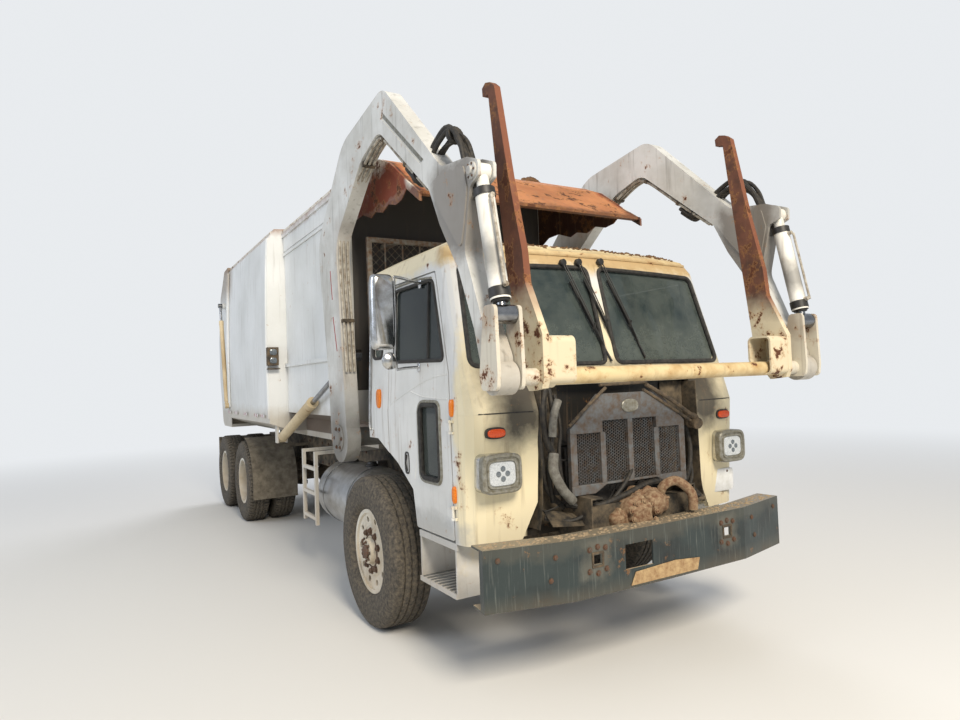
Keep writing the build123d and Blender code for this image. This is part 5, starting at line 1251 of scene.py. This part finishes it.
@both_sides
def make_door_trim(word, side):
    """Handle, window divider, bright trim, creases, grab bar, step tread and front panel's seam."""
    door = skin_tree(f"door_{word}")
    glazed = skin_tree(f"door_{word}", f"door_glass_{word}")
    cab = skin_tree("cab_shell", "cab_panels")

    def on_door(y, z, lift=0.0, tree=door):
        return on_side(tree, side, y, z, lift)

    dark, bright = bmesh.new(), bmesh.new()
    dished(dark, on_door(-0.53, 1.215), *outer(side),
           ((0.036, 0.074, -0.004), (0.036, 0.074, 0.004), (0.028, 0.066, 0.004),
            (0.022, 0.058, -0.002)), 3.5)
    tube(dark, [on_door(-0.53, 1.27, 0.004), on_door(-0.526, 1.215, 0.012), on_door(-0.53, 1.16, 0.004)],
         0.007, 8, 4)
    tube(dark, [on_door(-0.84, 1.895, 0.002, glazed), on_door(-0.84, 2.375, 0.002, glazed)], 0.011, 6, 1)
    piece(f"door_handle_{word}", dark, f"door_{word}", "black")
    tube(bright, [on_door(y, z, 0.004) for y, z in
                  ((-0.905, 2.4), (-0.7, 2.418), (-0.45, 2.42), (-0.26, 2.412))], 0.008, 6, 3)
    ring = [on_door(*point, 0.001) for point in rounded(grown(LOW_WINDOW, 0.026), 0.07)]
    tube(bright, ring, 0.011, 8, 1, True)
    piece(f"door_bright_trim_{word}", bright, f"door_{word}", "bezel")
    pressed = bmesh.new()
    for line in CREASES:
        tube(pressed, [on_door(y, z, -0.0035) for y, z in line], 0.0075, 6, 5)
    piece(f"door_creases_{word}", pressed, f"door_{word}", "cab")
    steel = bmesh.new()
    tube(steel, [on_door(GRAB_BAR_Y, z, lift, cab) for z, lift in GRAB_BAR], 0.009, 10, 4)
    piece(f"grab_bar_{word}", steel, "chassis", "chrome")
    sill = bmesh.new()
    for number in range(TREAD_BARS):
        y = -1.155 + number * TREAD_STEP
        slab(sill, at(side * 0.77, y, 0.508), at(side * 1.125, y + 0.014, 0.517))
    piece(f"step_tread_{word}", sill, "chassis", "aluminium")
    seam = bmesh.new()
    line = [on_front(cab, side * x, PANEL_SEAM_Z) for x in (0.7, 0.8, 0.9, 1.0, 1.05)]
    tube(seam, line, 0.004, 5, 2)
    piece(f"panel_seam_{word}", seam, "chassis", "seal")


SEAT_X = 0.78
CUSHION_AT = (-0.29, 1.4)               # Y and Z of the cushion's underside
BACK_AT = (-0.001, 1.792)               # Y and Z of the back's rear face
SEAT_POWER, SEAT_POINTS = 4.5, 56


def make_seat():
    """Sprung seat in cloth with welted edges, on its pedestal."""
    pads, welts, stand = bmesh.new(), bmesh.new(), bmesh.new()
    cushion, back = at(SEAT_X, *CUSHION_AT), at(SEAT_X, *BACK_AT)
    dished(pads, cushion, *TOP,
           ((0.19, 0.2, 0.0), (0.212, 0.222, 0.01), (0.219, 0.229, 0.035), (0.219, 0.229, 0.07),
            (0.208, 0.218, 0.096), (0.17, 0.18, 0.11), (0.1, 0.11, 0.117), (0.03, 0.035, 0.119)),
           SEAT_POWER, SEAT_POINTS, True)
    dished(pads, back, *FRONT,
           ((0.185, 0.262, 0.0), (0.208, 0.28, 0.008), (0.216, 0.287, 0.026), (0.216, 0.287, 0.05),
            (0.204, 0.275, 0.07), (0.165, 0.232, 0.081), (0.095, 0.15, 0.087), (0.03, 0.06, 0.088)),
           SEAT_POWER, SEAT_POINTS, True)
    loop = superellipse(0.214, 0.224, SEAT_POWER, SEAT_POINTS)
    for rise in (0.022, 0.084):
        tube(welts, [cushion + Vector((u, v, rise)) for u, v in loop], 0.0045, 5, 1, True)
    loop = superellipse(0.211, 0.281, SEAT_POWER, SEAT_POINTS)
    for rise in (0.016, 0.06):
        tube(welts, [back + Vector((u, -rise, v)) for u, v in loop], 0.0045, 5, 1, True)
    slab(stand, at(SEAT_X - 0.16, -0.45, 1.372), at(SEAT_X + 0.16, -0.1, 1.399))
    prism(stand, [at(SEAT_X - 0.08, y, z) for y, z in
                  ((-0.36, 1.245), (-0.18, 1.325), (-0.18, 1.38), (-0.36, 1.38))], (0.16, 0, 0))
    seat = piece("driver_seat", pads, "chassis", "seat", replaces=["seats"])
    piece("driver_seat_welts", welts, "chassis", "seal")
    piece("driver_seat_stand", stand, "chassis", "black", bevel=0.004)


# Underside, roof and canopy
def make_underside():
    """Leaves of the front springs, tank caps, hoses behind the cab and the frame's bolts."""
    leaves, bolts, caps = bmesh.new(), bmesh.new(), bmesh.new()
    for _, side in SIDES:
        for number in range(6):
            reach = 0.52 - 0.075 * number
            z = 0.735 - number * 0.014
            outline = [at(side * 0.336, y, z + 0.085 * (y / 0.54) ** 2)
                       for y in (-reach, -reach / 2, 0, reach / 2, reach)]
            outline += [point + Vector((0, 0, 0.011)) for point in reversed(outline)]
            prism(leaves, outline, (side * 0.09, 0, 0))
        for y in (1.05, 1.3, 2.1, 2.35, 3.4, 3.65, 4.2, 4.45, 5.9, 6.15):
            for z in (0.79, 0.91, 1.03):
                hex_head(bolts, at(side * 0.432, y, z), (side, 0, 0), 0.024, 0.012)
    for y in (1.0, 1.5):
        lathe(caps, at(-0.79, y, 1.018), (0, 0, 1),
              ((0.0, 0.052), (0.018, 0.052), (0.022, 0.044), (0.04, 0.04), (0.042, 0.03), (0.042, 0.0)), 24)
    lathe(caps, at(0.755, 1.0, 1.149), (0, 0, 1),
          ((0.0, 0.06), (0.03, 0.06), (0.034, 0.05), (0.034, 0.0)), 24)
    pipe(caps, ((1.042, 0.9, 0.7), (1.046, 0.9, 0.72), (1.046, 0.9, 1.05), (1.042, 0.9, 1.07)), 0.011, 8, 2)
    piece("spring_leaves", leaves, "chassis", "iron")
    piece("frame_bolts", bolts, "chassis", "nuts")
    piece("tank_caps", caps, "chassis", "black")
    hoses = bmesh.new()
    for x, y, sway in ((-0.62, 0.56, 0.05), (-0.52, 0.6, -0.04), (-0.4, 0.62, 0.06), (0.45, 0.6, -0.05),
                       (0.62, 0.58, 0.04)):
        pipe(hoses, ((x, y, 1.66), (x + sway, y - 0.02, 1.52), (x - sway, y + 0.02, 1.38),
                     (x + sway, y, 1.24), (x + sway / 2, y + 0.05, 1.1)), 0.016)
    piece("hoses_behind_cab", hoses, "chassis", "hose")


GUTTER_Z = 2.56
LEAVES = 360


def make_roof_dirt():
    """Leaves and dirt that lie in the roof's gutter, over a drip rail."""
    roof = skin_tree("cab_panels", "cab_shell")
    rail, dirt = bmesh.new(), bmesh.new()
    line = []
    for x in (-1.0 + number * 0.1 for number in range(21)):
        line.append(on_front(roof, x, GUTTER_Z) + Vector((0, -0.004, 0)))
    tube(rail, line, 0.011, 6, 2)
    piece("roof_gutter", rail, "chassis", "cab")
    for number in range(LEAVES):
        x = rng.uniform(-0.95, 0.95)
        y = rng.triangular(-1.03, -0.86, -0.98)
        size = rng.uniform(0.006, 0.02)
        spot = on_skin(roof, at(x, y, 3.0), (0, 0, -1))
        c, s = math.cos(number), math.sin(number)
        dished(dirt, spot, (c, s, 0.2), (-s, c, 0.1),
               ((size, size * 0.6, -0.003), (size * 0.8, size * 0.4, size * 0.4)), 2.0, 5, True)
    piece("roof_debris", dirt, "chassis", "debris")


def make_canopy_scrap():
    """Crumpled sheet metal that lies on the canopy."""
    shape = bmesh.new()
    spot = on_skin(skin_tree("canopy"), at(0.55, 0.3, 3.6), (0, 0, -1))
    dished(shape, spot, *TOP,
           ((0.15, 0.08, -0.004), (0.138, 0.074, 0.022), (0.118, 0.07, 0.038), (0.086, 0.05, 0.062),
            (0.052, 0.04, 0.074), (0.02, 0.018, 0.084)), 2.0, 22)
    for vertex in shape.verts:
        if vertex.co.z > spot.z + 0.004:
            vertex.co += Vector([rng.uniform(-reach, reach) for reach in (0.01, 0.01, 0.008)])
    piece("canopy_scrap", shape, "chassis", "debris")


# Marks and fittings of the lift gear
@both_sides
def make_arm_marks(word, side):
    """A red stripe on each rear leg, and a grey strip on the descending beam: painted shadow along a
    reinforcing plate.
    """
    red = bmesh.new()
    for points in (((0.56, 2.3), (0.575, 2.3), (0.5, 2.02), (0.485, 2.02)),
                   ((0.6, 2.68), (0.613, 2.68), (0.58, 2.44), (0.567, 2.44))):
        prism(red, [at(side * ARM_OUT, *point) for point in points], (side * 0.0015, 0, 0))
    piece(f"arm_red_stripe_{word}", red, "arms", "red_lens")
    # The grey strip is painted shadow along a reinforcing plate.
    grey = bmesh.new()
    prism(grey, [at(side * (ARM_OUT - 0.007), *point) for point in
                 ((-0.6, 3.535), (-0.65, 3.49), (-1.17, 3.05), (-1.14, 3.04), (-0.575, 3.512))],
          (side * 0.002, 0, 0))
    piece(f"arm_recess_shadow_{word}", grey, "arms", "bezel")


PIVOTS = (  # Y, Z and radius of the caps
    (0.5, 1.33, 0.105), (-1.857, 1.754, 0.06), (-1.738, 2.814, 0.046))
FORK_CYLINDER = (Vector((-1.738, 2.814)), Vector((-1.892, 2.065)))      # Y and Z of its two pins
GLAND_AT, BAND_AT = 0.69, 0.12          # distances from the upper pin


@both_sides
def make_arm_fittings(word, side):
    """Pin caps with their bolts on the arms, and the fork cylinders' glands, bands and pipes."""
    caps, bolts = bmesh.new(), bmesh.new()
    for y, z, radius in PIVOTS:
        lathe(caps, at(side * (ARM_OUT - 0.002), y, z), (side, 0, 0),
              ((0, radius), (0.01, radius), (0.013, radius - 0.004), (0.013, radius * 0.55),
               (0.024, radius * 0.5), (0.026, radius * 0.45), (0.026, 0)), 32)
        for c, s in circle(6):
            hex_head(bolts, at(side * (ARM_OUT + 0.011), y + radius * 0.78 * c, z + radius * 0.78 * s),
                     (side, 0, 0), radius * 0.22, radius * 0.1)
    piece(f"arm_pin_caps_{word}", caps, "arms", "arm")
    piece(f"arm_cap_bolts_{word}", bolts, "arms", "nuts")
    glands = bmesh.new()
    base, eye = FORK_CYLINDER
    along = (eye - base).normalized()
    axis = (0, along.x, along.y)
    lathe(glands, at(side * ARM_MID, *(base + along * GLAND_AT)), axis,
          ((-0.06, 0.048), (-0.06, 0.056), (-0.012, 0.056), (-0.008, 0.052), (0.002, 0.05), (0.004, 0.044),
           (0.012, 0.04), (0.012, 0.0265)), 28)
    lathe(glands, at(side * ARM_MID, *(base + along * BAND_AT)), axis,
          ((-0.02, 0.049), (-0.02, 0.057), (0.02, 0.057), (0.02, 0.049)), 28)
    piece(f"fork_cylinder_glands_{word}", glands, "fork_barrels", "black")
    ports = bmesh.new()
    for share in (0.15, 0.62):
        y, z = base + along * share
        pipe(ports, ((ARM_MID, y - 0.045, z), (ARM_MID, y - 0.075, z + 0.005)), 0.014, 8, 1, side)
    line = [base + along * share + Vector((-0.078, 0.0)) for share in (0.15, 0.3, 0.5, 0.62)]
    pipe(ports, [(ARM_MID + 0.012, *point) for point in line], 0.008, 8, 3, side)
    piece(f"fork_cylinder_pipe_{word}", ports, "fork_barrels", "pipe")


# Hopper, body and tailgate
HOPPER_WALL = 1.0
STRIP_X = (1.2365, 1.2385)
STRIP_STEP = 0.045                      # a reflective strip is cut into red and white parts this long
LAMP_BOX_Z = (2.0, 2.205)
TAIL_LAMPS = ((1.02, 1.52), (0.88, 1.52), (1.02, 2.95))      # X, Z


@both_sides
def make_body_trim(word, side):
    """Rails, ribs, lamps and reflective strips on the hopper, the body and the tailgate."""
    white, rusty, red, lamp = bmesh.new(), bmesh.new(), bmesh.new(), bmesh.new()
    for low, high, out in ((3.25, 3.275, 0.016), (3.3, 3.462, 0.009)):
        slab(white, at(side * HOPPER_WALL, 0.8, low), at(side * (HOPPER_WALL + out), 3.028, high))
    body = skin_tree("body_shell")

    def on_body(y, z, lift=0.0):
        return on_side(body, side, y, z, lift, 1.8)

    for y in (3.065, 5.56):
        tube(white, [on_body(y, z, -0.006) for z in (1.4, 2.0, 2.6, 3.1, 3.45)], 0.022, 6, 3)
    for y, lift in ((5.4, 0.016), (5.47, 0.018)):
        tube(white, [on_body(y, z, lift) for z in (1.5, 2.1, 2.7, 3.2, 3.42)], 0.014, 8, 3)
    piece(f"body_ribs_{word}", white, "chassis", "body", bevel=0.003)
    tube(rusty, [on_body(y, 3.52, -0.004) for y in (3.06, 3.7, 4.34, 4.98, 5.56)], 0.018, 8, 2)
    slab(rusty, at(side * 0.975, 0.8, 3.506), at(side * 1.03, 3.03, 3.53))
    piece(f"body_top_rail_{word}", rusty, "chassis", "canopy")
    for y in (3.2, 3.55, 4.2, 4.85, 5.35):
        for number in range(4):
            target = red if number % 2 else lamp
            near = y + number * STRIP_STEP
            far = near + STRIP_STEP - 0.001
            slab(target, at(side * STRIP_X[0], near, 1.412), at(side * STRIP_X[1], far, 1.444))
    piece(f"reflective_strips_{word}", red, "chassis", "red_lens")
    piece(f"reflective_whites_{word}", lamp, "chassis", "blank_plate")
    box, light = bmesh.new(), bmesh.new()
    slab(box, at(side * 1.11, 2.96, LAMP_BOX_Z[0]), at(side * 1.235, 3.03, LAMP_BOX_Z[1]))
    slab(box, at(side * 1.1, 2.95, 1.955), at(side * 1.235, 3.03, 1.97))
    piece(f"body_lamp_box_{word}", box, "chassis", "iron", bevel=0.005)
    for z in (2.055, 2.15):
        dished(light, at(side * 1.172, 2.96, z), *FRONT,
               ((0.04, 0.034, 0.0), (0.038, 0.032, 0.01), (0.024, 0.018, 0.014)), 3.0, 28)
    piece(f"body_lamps_{word}", light, "chassis", "reflector")
    gate = skin_tree("tailgate")
    rear = bmesh.new()
    for x, z in TAIL_LAMPS:
        dished(rear, on_skin(gate, at(side * x, 8.0, z), (0, -1, 0)), *REAR,
               ((0.055, 0.055, -0.02), (0.055, 0.055, 0.012), (0.048, 0.048, 0.016),
                (0.03, 0.03, 0.02)), 2.0, 28)
    piece(f"tail_lamps_{word}", rear, "tailgate", "red_lens")


# Everything in order
make_wheels()
make_lamps()
make_wipers()
make_grille()
make_linkage()
make_nose_hoses()
make_nose_casting()
make_radiator()
make_bumper_trim()
make_mirrors()
make_door_trim()
make_seat()
make_underside()
make_roof_dirt()
make_arm_marks()
make_arm_fittings()
make_body_trim()
make_canopy_scrap()
make_seals()
make_arm_pipes()
make_guard_mesh()
make_camera()
make_stage()
paint_nodes()
